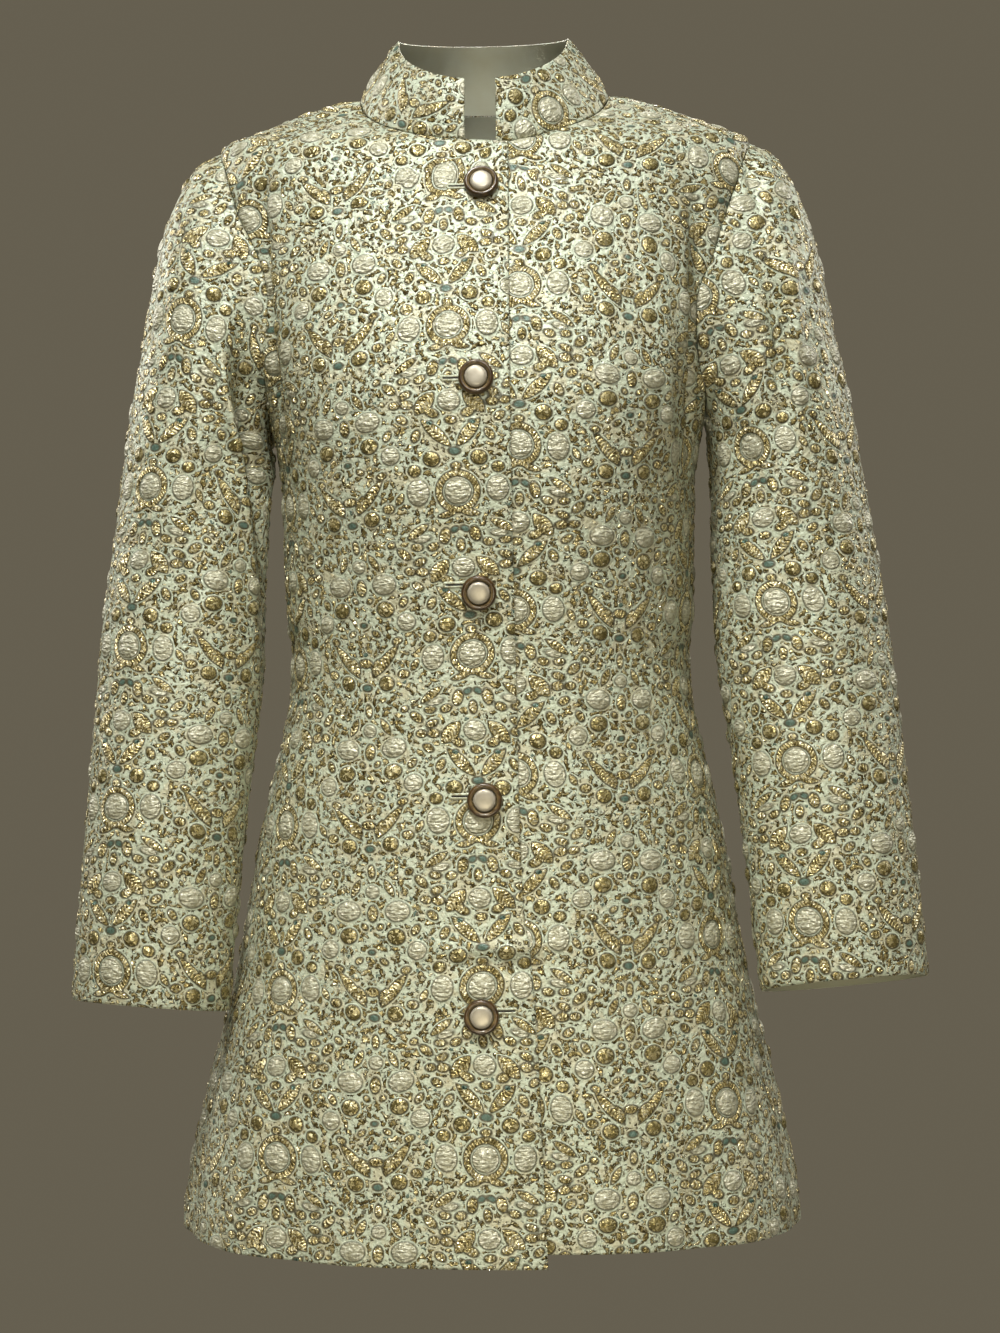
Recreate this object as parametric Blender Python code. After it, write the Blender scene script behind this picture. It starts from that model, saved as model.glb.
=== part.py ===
"""Brocade jacket: its cut pieces as thin cloth walls in their worn form, and five two-piece buttons.

Metres, +Z up, the front towards -Y. The origin lies midway between the shoulders' high points.
"""

import math

import bmesh
import bpy
import numpy as np
from mathutils import Matrix, Vector

# Cloth and sewing
WALL = 0.002
SEAM_GAP = 0.0005
LAP_INSET = 0.0032
LAP_EASE = 0.034
LAP_CLEAR = 0.004

# Lengths up the garment
HEM_Z = -0.814
UNDERARM_Z = -0.235
TIP_Z = -0.0365
LAP_TOP_Z = -0.047
UNDER_HEM_LIFT = 0.010
HEM_SIDE_LIFT = 0.005
WAIST_Z = -0.413
HEM_SWAY = -0.004

# Neckline and stand collar
NECK_HALF_WIDTH = 0.090
NECK_DROP = 0.045
LEAST_GIRTH = 0.02
COLLAR_HALF_GAP = 0.0108
COLLAR_TOP_HALF_WIDTH = 0.062
COLLAR_TOP_FRONT = 0.068
COLLAR_TOP_BACK = 0.046
COLLAR_SIDE_TOP_Z = 0.0425
COLLAR_FRONT_TOP_Z = -0.002
COLLAR_BACK_TOP_Z = 0.048
COLLAR_BULGE = 0.002

# Lap under the buttons
UNDER_EDGE_X = -0.022

# Armhole loop
SCOOP_FRONT = 0.063
SCOOP_BACK = 0.047
SCOOP_SKEW = 0.18

# Buttons
RIM_OUTER = 0.012
RIM_INNER = 0.0081
RIM_HEIGHT = 0.0050
RIM_EDGE_SHARE = 0.35
RIM_BACK_SHARE = 0.3
PEARL_RADIUS = 0.0077
PEARL_BASE = 0.0007
PEARL_HEIGHT = 0.0062
PEARL_SKIRT_SHARE = 0.55
BUTTON_GAP = 0.0005
BUTTON_SEAT_SHARE = 0.8

# Grid counts
SKIRT_ROWS = 17
ARM_ROWS = 12
EDGE_ROWS = 5
SHOULDER_COLUMNS = 6
FRONT_COLUMNS = 2 * SHOULDER_COLUMNS
HALF_BACK_COLUMNS = 12
SLEEVE_RINGS = 22
COLLAR_ROWS = 4
ROUND_STEPS = 18
RIM_ARCH_POINTS = 6
PEARL_DOME_POINTS = 4
FINE = 240

# The body's level sections: half width, depth before and behind the shoulder line, squareness
FORM_COLUMNS = ("z", "half_width", "front", "back", "squareness")
FORM = (
    (0.000, 0.0900, 0.000, 0.062, 2.0),
    (-0.003, 0.1080, 0.008, 0.064, 2.0),
    (-0.0245, 0.1650, 0.048, 0.073, 2.1),
    (TIP_Z, 0.1905, 0.068, 0.078, 2.2),
    (-0.047, 0.1935, 0.081, 0.083, 2.2),
    (-0.070, 0.1950, 0.090, 0.092, 2.3),
    (-0.110, 0.1880, 0.105, 0.105, 2.3),
    (-0.150, 0.1780, 0.119, 0.111, 2.3),
    (-0.190, 0.1680, 0.130, 0.1125, 2.3),
    (UNDERARM_Z, 0.1560, 0.136, 0.111, 2.3),
    (-0.284, 0.1480, 0.135, 0.1065, 2.3),
    (-0.327, 0.1472, 0.130, 0.102, 2.3),
    (-0.370, 0.1460, 0.125, 0.0975, 2.3),
    (-0.413, 0.1433, 0.122, 0.0952, 2.3),
    (-0.456, 0.1490, 0.122, 0.0985, 2.3),
    (-0.500, 0.1591, 0.125, 0.107, 2.3),
    (-0.543, 0.1685, 0.1275, 0.114, 2.25),
    (-0.608, 0.1796, 0.1325, 0.125, 2.2),
    (-0.651, 0.1890, 0.136, 0.131, 2.2),
    (-0.716, 0.2059, 0.141, 0.139, 2.2),
    (-0.780, 0.2192, 0.145, 0.147, 2.2),
    (HEM_Z, 0.2235, 0.147, 0.150, 2.2),
)

# Soft folds of the body: turn from the centre front in degrees, height, reach, width, how far out
FOLD_COLUMNS = ("turn", "z", "reach", "width", "out")
FOLDS = (
    (-36, -0.235, 0.075, 0.050, 0.006),
    (36, -0.235, 0.075, 0.050, 0.006),
    (-57, -0.140, 0.075, 0.014, -0.005),
    (59, -0.185, 0.085, 0.014, -0.005),
    (47, -0.215, 0.080, 0.014, 0.002),
    (-48, -0.780, 0.150, 0.030, 0.004),
    (-74, -0.800, 0.130, 0.024, -0.004),
    (52, -0.790, 0.140, 0.028, 0.004),
    (78, -0.800, 0.120, 0.024, -0.003),
    (118, -0.780, 0.150, 0.030, 0.004),
    (146, -0.800, 0.170, 0.032, -0.005),
    (178, -0.790, 0.150, 0.036, 0.004),
    (-150, -0.800, 0.170, 0.030, -0.005),
    (-116, -0.780, 0.150, 0.028, 0.004),
    (150, -0.415, 0.060, 0.022, -0.004),
    (-148, -0.405, 0.060, 0.022, -0.004),
)

# The lapping edge: distance past the centre front
LAP_COLUMNS = ("z", "past_centre")
LAP = (
    (LAP_TOP_Z, 0.0195),
    (-0.220, 0.0200),
    (-0.360, 0.0210),
    (-0.500, 0.0230),
    (-0.575, 0.0265),
    (-0.600, 0.0305),
    (-0.645, 0.0350),
    (HEM_Z, 0.0430),
)

# Sleeve sections: outer and inner ends, half depth before and behind, middle
SLEEVE_COLUMNS = ("outer_x", "outer_z", "inner_x", "inner_z", "front", "back", "middle_y")
SLEEVE = (
    (0.1905, TIP_Z, 0.1560, UNDERARM_Z, 0.062, 0.050, 0.000),
    (0.2080, -0.0480, 0.1566, -0.2400, 0.060, 0.055, -0.001),
    (0.2300, -0.0890, 0.1572, -0.2470, 0.061, 0.059, -0.003),
    (0.2410, -0.1325, 0.1580, -0.2560, 0.061, 0.060, -0.004),
    (0.2495, -0.1760, 0.1590, -0.2680, 0.060, 0.060, -0.004),
    (0.2585, -0.2190, 0.1598, -0.2840, 0.058, 0.058, -0.004),
    (0.2722, -0.3050, 0.1596, -0.3300, 0.057, 0.057, -0.005),
    (0.2851, -0.3920, 0.1612, -0.4000, 0.055, 0.055, -0.009),
    (0.2912, -0.4565, 0.1678, -0.4565, 0.052, 0.052, -0.014),
    (0.2974, -0.5210, 0.1764, -0.5210, 0.049, 0.049, -0.020),
    (0.3038, -0.5930, 0.1840, -0.5950, 0.046, 0.046, -0.026),
    (0.3078, -0.6415, 0.1894, -0.6516, 0.044, 0.044, -0.030),
)
SEAT_FADE = 0.25
CUFF_TILT_FROM = 0.6

# How each sleeve hangs: side, swing outwards in degrees, and at the cuff its reach forward, its lift,
# how much narrower it is, and the drop of its back edge
HANG_COLUMNS = ("side", "swing", "forward", "lift", "narrower", "back_drop")
HANG = (
    (-1, -0.3, 0.022, 0.000, 0.008, 0.008),
    (1, 0.0, 0.004, 0.009, 0.000, 0.016),
)

# Sleeve folds: side, turn from the underarm through the front, place down the sleeve, slant, half length,
# half width in turn, how far out
SLEEVE_FOLD_COLUMNS = ("side", "turn", "down", "slant", "reach", "width", "out")
SLEEVE_FOLDS = (
    (-1, 34, 0.29, -30, 0.13, 12, -0.006),
    (-1, 56, 0.30, -30, 0.14, 10, 0.004),
    (-1, 75, 0.52, 18, 0.14, 12, -0.003),
    (-1, 250, 0.55, 60, 0.12, 14, -0.005),
    (-1, 300, 0.45, 40, 0.12, 14, -0.004),
    (1, 96, 0.28, -12, 0.17, 9, -0.006),
    (1, 116, 0.26, -16, 0.15, 10, 0.004),
    (1, 60, 0.46, 20, 0.16, 12, -0.003),
    (1, 246, 0.52, 60, 0.12, 14, -0.005),
    (1, 296, 0.42, 40, 0.12, 14, -0.004),
)

BUTTON_COLUMNS = ("z", "x")
BUTTONS = (
    (-0.0790, 0.0010),
    (-0.2168, -0.0025),
    (-0.3610, -0.0027),
    (-0.5014, -0.0005),
    (-0.6463, -0.0040),
)

BROCADE = (0.42, 0.43, 0.27)
RIM_BROWN = (0.055, 0.028, 0.014)
PEARL_WHITE = (0.74, 0.70, 0.62)


def table(columns, rows):
    """Named columns of a table, as arrays."""
    return {name: np.array([row[i] for row in rows], dtype=float) for i, name in enumerate(columns)}


def smooth(at, knots, values):
    """A smooth curve through a table's values that doesn't overshoot between them."""
    order = np.argsort(knots)
    k = knots[order]
    v = values[order]
    step = np.diff(v) / np.diff(k)
    slope = np.empty_like(v)
    slope[0] = step[0]
    slope[-1] = step[-1]
    same = step[:-1] * step[1:] > 0
    total = np.where(same, step[:-1] + step[1:], 1.0)
    slope[1:-1] = np.where(same, 2 * step[:-1] * step[1:] / total, 0.0)
    at = np.clip(at, k[0], k[-1])
    i = np.clip(np.searchsorted(k, at, side="right") - 1, 0, len(k) - 2)
    width = k[i + 1] - k[i]
    t = (at - k[i]) / width
    rise = v[i] * (1 + 2 * t) * (1 - t) ** 2 + v[i + 1] * t * t * (3 - 2 * t)
    return rise + width * (slope[i] * t * (1 - t) ** 2 - slope[i + 1] * t * t * (1 - t))


def ease(t):
    """0 to 1 with a flat start and end."""
    t = np.clip(t, 0, 1)
    return t * t * (3 - 2 * t)


def unit(vectors):
    return vectors / np.maximum(np.linalg.norm(vectors, axis=-1, keepdims=True), 1e-12)


form = table(FORM_COLUMNS, FORM)
folds = table(FOLD_COLUMNS, FOLDS)
lap = table(LAP_COLUMNS, LAP)
sleeve = table(SLEEVE_COLUMNS, SLEEVE)
hang = table(HANG_COLUMNS, HANG)
sleeve_folds = table(SLEEVE_FOLD_COLUMNS, SLEEVE_FOLDS)
buttons = table(BUTTON_COLUMNS, BUTTONS)


def size_at(z, name):
    return smooth(np.asarray(z, dtype=float), form["z"], form[name])


def on_form(z, turn):
    """Points of the worn body at a height, turned from the centre front towards +X."""
    power = 2 / size_at(z, "squareness")
    across = np.sin(turn)
    ahead = np.cos(turn)
    depth = np.where(ahead > 0, size_at(z, "front"), size_at(z, "back"))
    x = size_at(z, "half_width") * np.sign(across) * np.abs(across) ** power
    y = -depth * np.sign(ahead) * np.abs(ahead) ** power
    out = np.zeros_like(x)
    girth = np.hypot(x, y)
    for i in range(len(folds["turn"])):
        away = np.angle(np.exp(1j * (turn - math.radians(folds["turn"][i])))) * girth / folds["width"][i]
        along = (z - folds["z"][i]) / folds["reach"][i]
        out = out + folds["out"][i] * np.exp(-away ** 2 - along ** 2)
    scale = 1 + out / np.maximum(girth, LEAST_GIRTH)
    sway = HEM_SWAY * ease((WAIST_Z - z) / (WAIST_Z - HEM_Z))
    return np.stack([x * scale + sway, y * scale, np.broadcast_to(z, x.shape)], axis=-1)


def turn_at_x(z, x):
    """The turn at which the front of the body reaches a distance from the centre."""
    share = np.clip(np.abs(x) / size_at(z, "half_width"), 0, 1)
    return np.sign(x) * np.arcsin(share ** (size_at(z, "squareness") / 2))


def turn_at_y(z, y):
    """The turn, on the +X side, at which the body reaches a depth."""
    depth = np.where(y <= 0, size_at(z, "front"), size_at(z, "back"))
    share = np.clip(np.abs(y) / depth, 0, 1) ** (size_at(z, "squareness") / 2)
    return np.where(y <= 0, np.arccos(share), math.pi - np.arccos(share))


def armhole(side_y):
    """Heights and turns of one side of the armhole, from the underarm up to the shoulder tip."""
    around = np.linspace(math.pi, 0, ARM_ROWS + 1)
    middle = (UNDERARM_Z + TIP_Z) / 2
    half = (TIP_Z - UNDERARM_Z) / 2
    z = middle + half * np.cos(around)
    scoop = SCOOP_FRONT if side_y < 0 else SCOOP_BACK
    y = side_y * scoop * np.sin(around) * (1 - SCOOP_SKEW * np.cos(around))
    return z, turn_at_y(z, y)


def even_row(z, turn, columns, side):
    """Points spaced evenly along a path on the body."""
    path = on_form(z, side * turn)
    gone = np.concatenate([[0], np.cumsum(np.linalg.norm(np.diff(path, axis=0), axis=1))])
    stops = np.linspace(0, gone[-1], columns + 1)
    return on_form(np.interp(stops, gone, z), side * np.interp(stops, gone, turn))


def skirt_heights():
    return np.linspace(HEM_Z, UNDERARM_Z, SKIRT_ROWS + 1)[:-1]


def front_grid(side, past_centre, hem_lift):
    """One front, from its front edge and neckline to its side, armhole and shoulder seam."""
    arm_z, arm_turn = armhole(-1)
    end_z = np.concatenate([skirt_heights(), arm_z])
    end_z[0] += HEM_SIDE_LIFT
    end_turn = np.concatenate([np.full(SKIRT_ROWS, math.pi / 2), arm_turn])
    edge_z = np.linspace(UNDERARM_Z, LAP_TOP_Z, EDGE_ROWS + 1)
    collar_turn = math.asin(COLLAR_HALF_GAP / NECK_HALF_WIDTH)
    neck = np.linspace(collar_turn, math.pi / 2, ARM_ROWS - EDGE_ROWS)
    neck_z = -NECK_DROP * np.cos(neck)
    straight_z = np.concatenate([skirt_heights(), edge_z])
    start_z = np.concatenate([straight_z, neck_z])
    start_turn = np.concatenate([
        turn_at_x(straight_z, -past_centre(straight_z)),
        turn_at_x(neck_z, NECK_HALF_WIDTH * np.sin(neck)),
    ])
    start_z[0] += hem_lift
    along = np.linspace(0, 1, FINE)
    rows = []
    for z0, turn0, z1, turn1 in zip(start_z, start_turn, end_z, end_turn):
        rows.append(even_row(z0 + (z1 - z0) * along, turn0 + (turn1 - turn0) * along, FRONT_COLUMNS, side))
    return np.array(rows)


def back_grid():
    """The back, from one side and armhole to the other, up to the shoulder seams and back neckline."""
    arm_z, arm_turn = armhole(1)
    end_z = np.concatenate([skirt_heights(), arm_z])
    end_z[0] += HEM_SIDE_LIFT
    end_turn = np.concatenate([np.full(SKIRT_ROWS, math.pi / 2), arm_turn])
    middle_z = np.concatenate([skirt_heights(), np.linspace(UNDERARM_Z, 0, ARM_ROWS + 1)])
    rise = np.concatenate([np.zeros(SKIRT_ROWS), np.linspace(0, 1, ARM_ROWS + 1) ** 2])
    along = np.linspace(0, 1, FINE)
    corner = 1 - SHOULDER_COLUMNS / HALF_BACK_COLUMNS
    top_z = np.interp(along, [0, corner, 1], [0, 0, TIP_Z])
    top_turn = np.interp(along, [0, corner, 1], [math.pi, math.pi / 2, math.pi / 2])
    extra_z = top_z - along * TIP_Z
    extra_turn = top_turn - (math.pi - along * math.pi / 2)
    halves = {-1: [], 1: []}
    for side, rows in halves.items():
        for z0, z1, turn1, lift in zip(middle_z[:-1], end_z, end_turn, rise):
            z = z0 + (z1 - z0) * along + lift * extra_z
            turn = math.pi + (turn1 - math.pi) * along + lift * extra_turn
            rows.append(even_row(z, turn, HALF_BACK_COLUMNS, side))
        neck = even_row(0 * along, math.pi * (1 - along / 2), HALF_BACK_COLUMNS - SHOULDER_COLUMNS, side)
        shoulder = even_row(TIP_Z * along, np.full(FINE, math.pi / 2), SHOULDER_COLUMNS, side)
        rows.append(np.concatenate([neck, shoulder[1:]]))
    return np.concatenate([np.array(halves[-1])[:, ::-1], np.array(halves[1])[:, 1:]], axis=1)


def grid_faces(points):
    """Unscaled face normals of a grid."""
    return np.cross(points[1:, 1:] - points[:-1, :-1], points[1:, :-1] - points[:-1, 1:])


def own_normals(points, around=False):
    """Normals of a grid's points, from the faces that meet there."""
    faces = grid_faces(points)
    total = np.zeros_like(points)
    for r in (0, 1):
        for c in (0, 1):
            total[r:points.shape[0] - 1 + r, c:points.shape[1] - 1 + c] += faces
    if around:
        total[:, 0] += total[:, -1]
        total[:, -1] = total[:, 0]
    return total


def shared_normals(grids):
    """Unit normals that agree where the grids meet at a seam."""
    sums = [own_normals(grid) for grid in grids]
    meeting = {}
    for grid, total in zip(grids, sums):
        for point, normal in zip(grid.reshape(-1, 3), total.reshape(-1, 3)):
            key = tuple(np.round(point, 5))
            meeting[key] = meeting.get(key, np.zeros(3)) + normal
    result = []
    for grid in grids:
        keys = [tuple(np.round(point, 5)) for point in grid.reshape(-1, 3)]
        result.append(unit(np.array([meeting[key] for key in keys])).reshape(grid.shape))
    return result


def part_at(points, inner, distance=SEAM_GAP / 2):
    """Seam points drawn back towards the points inside their own piece."""
    return points + unit(inner - points) * distance


def seat(edge, normal, inner, away):
    """A sewn-on edge laid clear of the edge that carries it, whichever way it leaves."""
    run = unit(np.gradient(edge, axis=0))
    off = np.cross(normal, run)
    off = unit(off * np.sign(np.sum(off * (edge - inner), axis=1, keepdims=True)))
    leave = unit(away - edge)
    bend = np.arctan2(
        np.maximum(np.sum(leave * normal, axis=1, keepdims=True), 0),
        np.sum(leave * off, axis=1, keepdims=True),
    )
    return edge + SEAM_GAP * (off * np.cos(bend / 2) + normal * np.sin(bend / 2))


def sleeve_sections(side):
    """Rings of a sleeve from the shoulder to the cuff, each from the underarm round by the front."""
    down = np.linspace(0, 1, SLEEVE_RINGS + 1)
    knots = np.linspace(0, 1, len(SLEEVE))
    at = {name: smooth(down, knots, sleeve[name])[:, None] for name in SLEEVE_COLUMNS}
    row = int(np.argmax(hang["side"] == side))
    low = ease(down)[:, None]
    at["outer_x"] = at["outer_x"] - hang["narrower"][row] * low
    around = np.linspace(0, 2 * math.pi, 2 * ARM_ROWS + 1)[None, :]
    span = np.cos(around)
    depth = np.where(np.sin(around) > 0, at["front"], at["back"])
    x = (at["outer_x"] + at["inner_x"]) / 2 - span * (at["outer_x"] - at["inner_x"]) / 2
    z = (at["outer_z"] + at["inner_z"]) / 2 - span * (at["outer_z"] - at["inner_z"]) / 2
    out = np.zeros_like(x)
    for i in np.flatnonzero(sleeve_folds["side"] == side):
        past = down[:, None] - sleeve_folds["down"][i]
        ridge = sleeve_folds["turn"][i] + sleeve_folds["slant"][i] * past / sleeve_folds["reach"][i]
        away = np.angle(np.exp(1j * (around - np.radians(ridge)))) / math.radians(sleeve_folds["width"][i])
        out = out + sleeve_folds["out"][i] * np.exp(-away ** 2 - (past / sleeve_folds["reach"][i]) ** 2)
    x = x - out * span
    y = at["middle_y"] - hang["forward"][row] * low - np.sin(around) * (depth + out)
    tilt = ease((down[:, None] - CUFF_TILT_FROM) / (1 - CUFF_TILT_FROM))
    z = z + np.sin(around) * hang["back_drop"][row] / 2 * tilt
    z = z + hang["lift"][row] * low
    angle = math.radians(hang["swing"][row]) * low
    tip_x = sleeve["outer_x"][0]
    turned_x = tip_x + (x - tip_x) * np.cos(angle) - (z - TIP_Z) * np.sin(angle)
    turned_z = TIP_Z + (z - TIP_Z) * np.cos(angle) + (x - tip_x) * np.sin(angle)
    return np.stack([side * turned_x, y, turned_z], axis=-1)


def sleeve_grid(side, front, back, front_normals, back_normals):
    """A sleeve whose first ring is seated on the armhole of the front and back."""
    rows = slice(SKIRT_ROWS, SKIRT_ROWS + ARM_ROWS + 1)
    column = -1 if side > 0 else 0
    beside = -2 if side > 0 else 1
    edge = np.concatenate([front[rows, -1], back[rows, column][::-1][1:]])
    inner = np.concatenate([front[rows, -2], back[rows, beside][::-1][1:]])
    normal = np.concatenate([front_normals[rows, -1], back_normals[rows, column][::-1][1:]])
    rings = sleeve_sections(side)
    fade = np.clip(1 - np.linspace(0, 1, SLEEVE_RINGS + 1) / SEAT_FADE, 0, 1)[:, None, None] ** 2
    loose = rings + (edge - rings[0])[None] * fade
    seated = seat(edge, normal, inner, loose[1])
    seated[-1] = seated[0]
    return rings + (seated - rings[0])[None] * fade


def collar_grid(fronts, back, front_normals, back_normals):
    """The stand collar, from one centre front round the back of the neck to the other."""
    first = SKIRT_ROWS + EDGE_ROWS + 1
    nape = slice(SHOULDER_COLUMNS + 1, 2 * HALF_BACK_COLUMNS - SHOULDER_COLUMNS)
    edge = np.concatenate([fronts[0][first:, 0], back[-1, nape], fronts[1][first:, 0][::-1]])
    inner = np.concatenate([fronts[0][first:, 1], back[-2, nape], fronts[1][first:, 1][::-1]])
    normal = np.concatenate([
        front_normals[0][first:, 0],
        back_normals[-1, nape],
        front_normals[1][first:, 0][::-1],
    ])
    gone = np.concatenate([[0], np.cumsum(np.linalg.norm(np.diff(edge, axis=0), axis=1))])
    end = math.asin(COLLAR_HALF_GAP / COLLAR_TOP_HALF_WIDTH)
    turn = end + (2 * math.pi - 2 * end) * gone / gone[-1]
    ahead = np.cos(turn)
    x = -COLLAR_TOP_HALF_WIDTH * np.sin(turn)
    y = -np.where(ahead > 0, COLLAR_TOP_FRONT, COLLAR_TOP_BACK) * ahead
    front_fall = COLLAR_SIDE_TOP_Z - COLLAR_FRONT_TOP_Z
    back_rise = COLLAR_BACK_TOP_Z - COLLAR_SIDE_TOP_Z
    z = COLLAR_SIDE_TOP_Z - np.where(ahead > 0, front_fall, back_rise) * ahead
    top = np.stack([x, y, z], axis=-1)
    base = seat(edge, normal, inner, top)
    up = np.linspace(0, 1, COLLAR_ROWS + 1)[:, None, None]
    outward = unit(np.stack([x, y, np.zeros_like(x)], axis=-1))
    return base + (top - base) * up + outward * COLLAR_BULGE * np.sin(math.pi * up)


def lay_under(grid, normals):
    """The under front, sunk below the lap and easing out to the body beyond its edge."""
    past = grid[..., 0] - smooth(grid[..., 2], lap["z"], lap["past_centre"])
    sunk = LAP_INSET * (1 - ease((past - LAP_CLEAR) / LAP_EASE))
    return grid - normals * sunk[..., None]


def draw_back_seams(fronts, back):
    """Side and shoulder seams opened by the sewing gap."""
    side_rows = slice(0, SKIRT_ROWS + 1)
    nape = slice(SHOULDER_COLUMNS + 1, 2 * HALF_BACK_COLUMNS - SHOULDER_COLUMNS)
    nape_points = back[-1, nape].copy()
    for grid in fronts:
        grid[side_rows, -1] = part_at(grid[side_rows, -1], grid[side_rows, -2])
        grid[-1] = part_at(grid[-1], grid[-2])
    back[side_rows, 0] = part_at(back[side_rows, 0], back[side_rows, 1])
    back[side_rows, -1] = part_at(back[side_rows, -1], back[side_rows, -2])
    back[-1] = part_at(back[-1], back[-2])
    back[-1, nape] = nape_points


def new_collection(name, parent):
    collection = bpy.data.collections.new(name)
    parent.children.link(collection)
    return collection


def finish(name, colour, roughness, metallic):
    """A material with one Principled shader."""
    material = bpy.data.materials.new(name)
    material.use_nodes = True
    shader = material.node_tree.nodes["Principled BSDF"]
    shader.inputs["Base Color"].default_value = (*colour, 1)
    shader.inputs["Roughness"].default_value = roughness
    shader.inputs["Metallic"].default_value = metallic
    return material


def add_object(bm, name, material, collection):
    """A bmesh as a named object with its own material."""
    mesh = bpy.data.meshes.new(name)
    bmesh.ops.recalc_face_normals(bm, faces=bm.faces)
    bm.to_mesh(mesh)
    bm.free()
    mesh.materials.append(material)
    mesh.shade_smooth()
    mesh.set_sharp_from_angle(angle=math.radians(40))
    piece = bpy.data.objects.new(name, mesh)
    collection.objects.link(piece)
    return piece


def cloth_layer(bm, points, around):
    """One side of the cloth: a grid laid on its points, closed into a tube where it goes around."""
    rows, columns = points.shape[0] - 1, points.shape[1] - 1
    made = bmesh.ops.create_grid(bm, x_segments=columns, y_segments=rows, size=1)["verts"]
    ends = ([], [])
    for vert in made:
        column = round((vert.co.x + 1) / 2 * columns)
        row = round((vert.co.y + 1) / 2 * rows)
        vert.co = Vector(points[row, column])
        if row in (0, rows):
            ends[0 if row == 0 else 1].append(vert)
    if around:
        doubles = bmesh.ops.find_doubles(bm, verts=made, dist=1e-7)["targetmap"]
        ends = tuple([vert for vert in end if vert not in doubles] for end in ends)
        bmesh.ops.weld_verts(bm, targetmap=doubles)
    return ends


def cloth_wall(name, outer, normals, collection, around=False):
    """A cloth piece: its right side, its reverse a wall's thickness in, and the cut edges between."""
    bm = bmesh.new()
    layers = [cloth_layer(bm, points, around) for points in (outer, outer - WALL * normals)]
    if around:
        for end in (0, 1):
            verts = set(layers[0][end]) | set(layers[1][end])
            rim = [edge for edge in bm.edges if edge.is_boundary and set(edge.verts) <= verts]
            bmesh.ops.bridge_loops(bm, edges=rim)
    else:
        bmesh.ops.bridge_loops(bm, edges=[edge for edge in bm.edges if edge.is_boundary])
    return add_object(bm, name, finish(name, BROCADE, 0.45, 0.35), collection)


def turned(name, profile, closed, material, place, collection):
    """A piece turned about its own axis from a profile of radius and height, set at its place."""
    bm = bmesh.new()
    verts = [bm.verts.new((radius, 0, height)) for radius, height in profile]
    pairs = list(zip(verts, verts[1:]))
    if closed:
        pairs.append((verts[-1], verts[0]))
    edges = [bm.edges.new(pair) for pair in pairs]
    bmesh.ops.spin(
        bm, geom=verts + edges, cent=(0, 0, 0), axis=(0, 0, 1), angle=2 * math.pi, steps=ROUND_STEPS,
        use_merge=True,
    )
    bmesh.ops.remove_doubles(bm, verts=bm.verts, dist=1e-6)
    bmesh.ops.transform(bm, matrix=place, verts=bm.verts)
    return add_object(bm, name, material, collection)


def rim_profile():
    """The rim's section: a low rounded ring with a flat back."""
    middle = (RIM_OUTER + RIM_INNER) / 2
    half = (RIM_OUTER - RIM_INNER) / 2
    arch = [(middle + half * math.cos(a), RIM_HEIGHT * (RIM_EDGE_SHARE + (1 - RIM_EDGE_SHARE) * math.sin(a)))
            for a in np.linspace(0, math.pi, RIM_ARCH_POINTS)]
    return [(RIM_INNER, 0), (RIM_OUTER - half * RIM_BACK_SHARE, 0)] + arch


def pearl_profile():
    """The pearl cap's section: a straight skirt under a low dome."""
    shoulder = PEARL_HEIGHT * PEARL_SKIRT_SHARE
    dome = [(PEARL_RADIUS * math.cos(a), shoulder + (PEARL_HEIGHT - shoulder) * math.sin(a))
            for a in np.linspace(0, math.pi / 2, PEARL_DOME_POINTS)]
    return [(0, PEARL_BASE), (PEARL_RADIUS, PEARL_BASE)] + dome[:-1] + [(0, PEARL_HEIGHT)]


def lap_point(lap_grid, x, z):
    """The point of the lap's right side at a distance across and a height."""
    rows = lap_grid[:, ::-1]
    heights = [np.interp(x, row[:, 0], row[:, 2]) for row in rows]
    depths = [np.interp(x, row[:, 0], row[:, 1]) for row in rows]
    return Vector((x, np.interp(z, heights, depths), z))


def button_place(lap_grid, z, x):
    """A frame on the lap's right side whose third axis points away from the cloth."""
    reach = RIM_OUTER * BUTTON_SEAT_SHARE
    right = lap_point(lap_grid, x + reach, z) - lap_point(lap_grid, x - reach, z)
    up = lap_point(lap_grid, x, z + reach) - lap_point(lap_grid, x, z - reach)
    out = right.cross(up).normalized()
    right.normalize()
    axes = Matrix((right, out.cross(right), out)).transposed().to_4x4()
    return Matrix.Translation(lap_point(lap_grid, x, z) + out * BUTTON_GAP) @ axes


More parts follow.
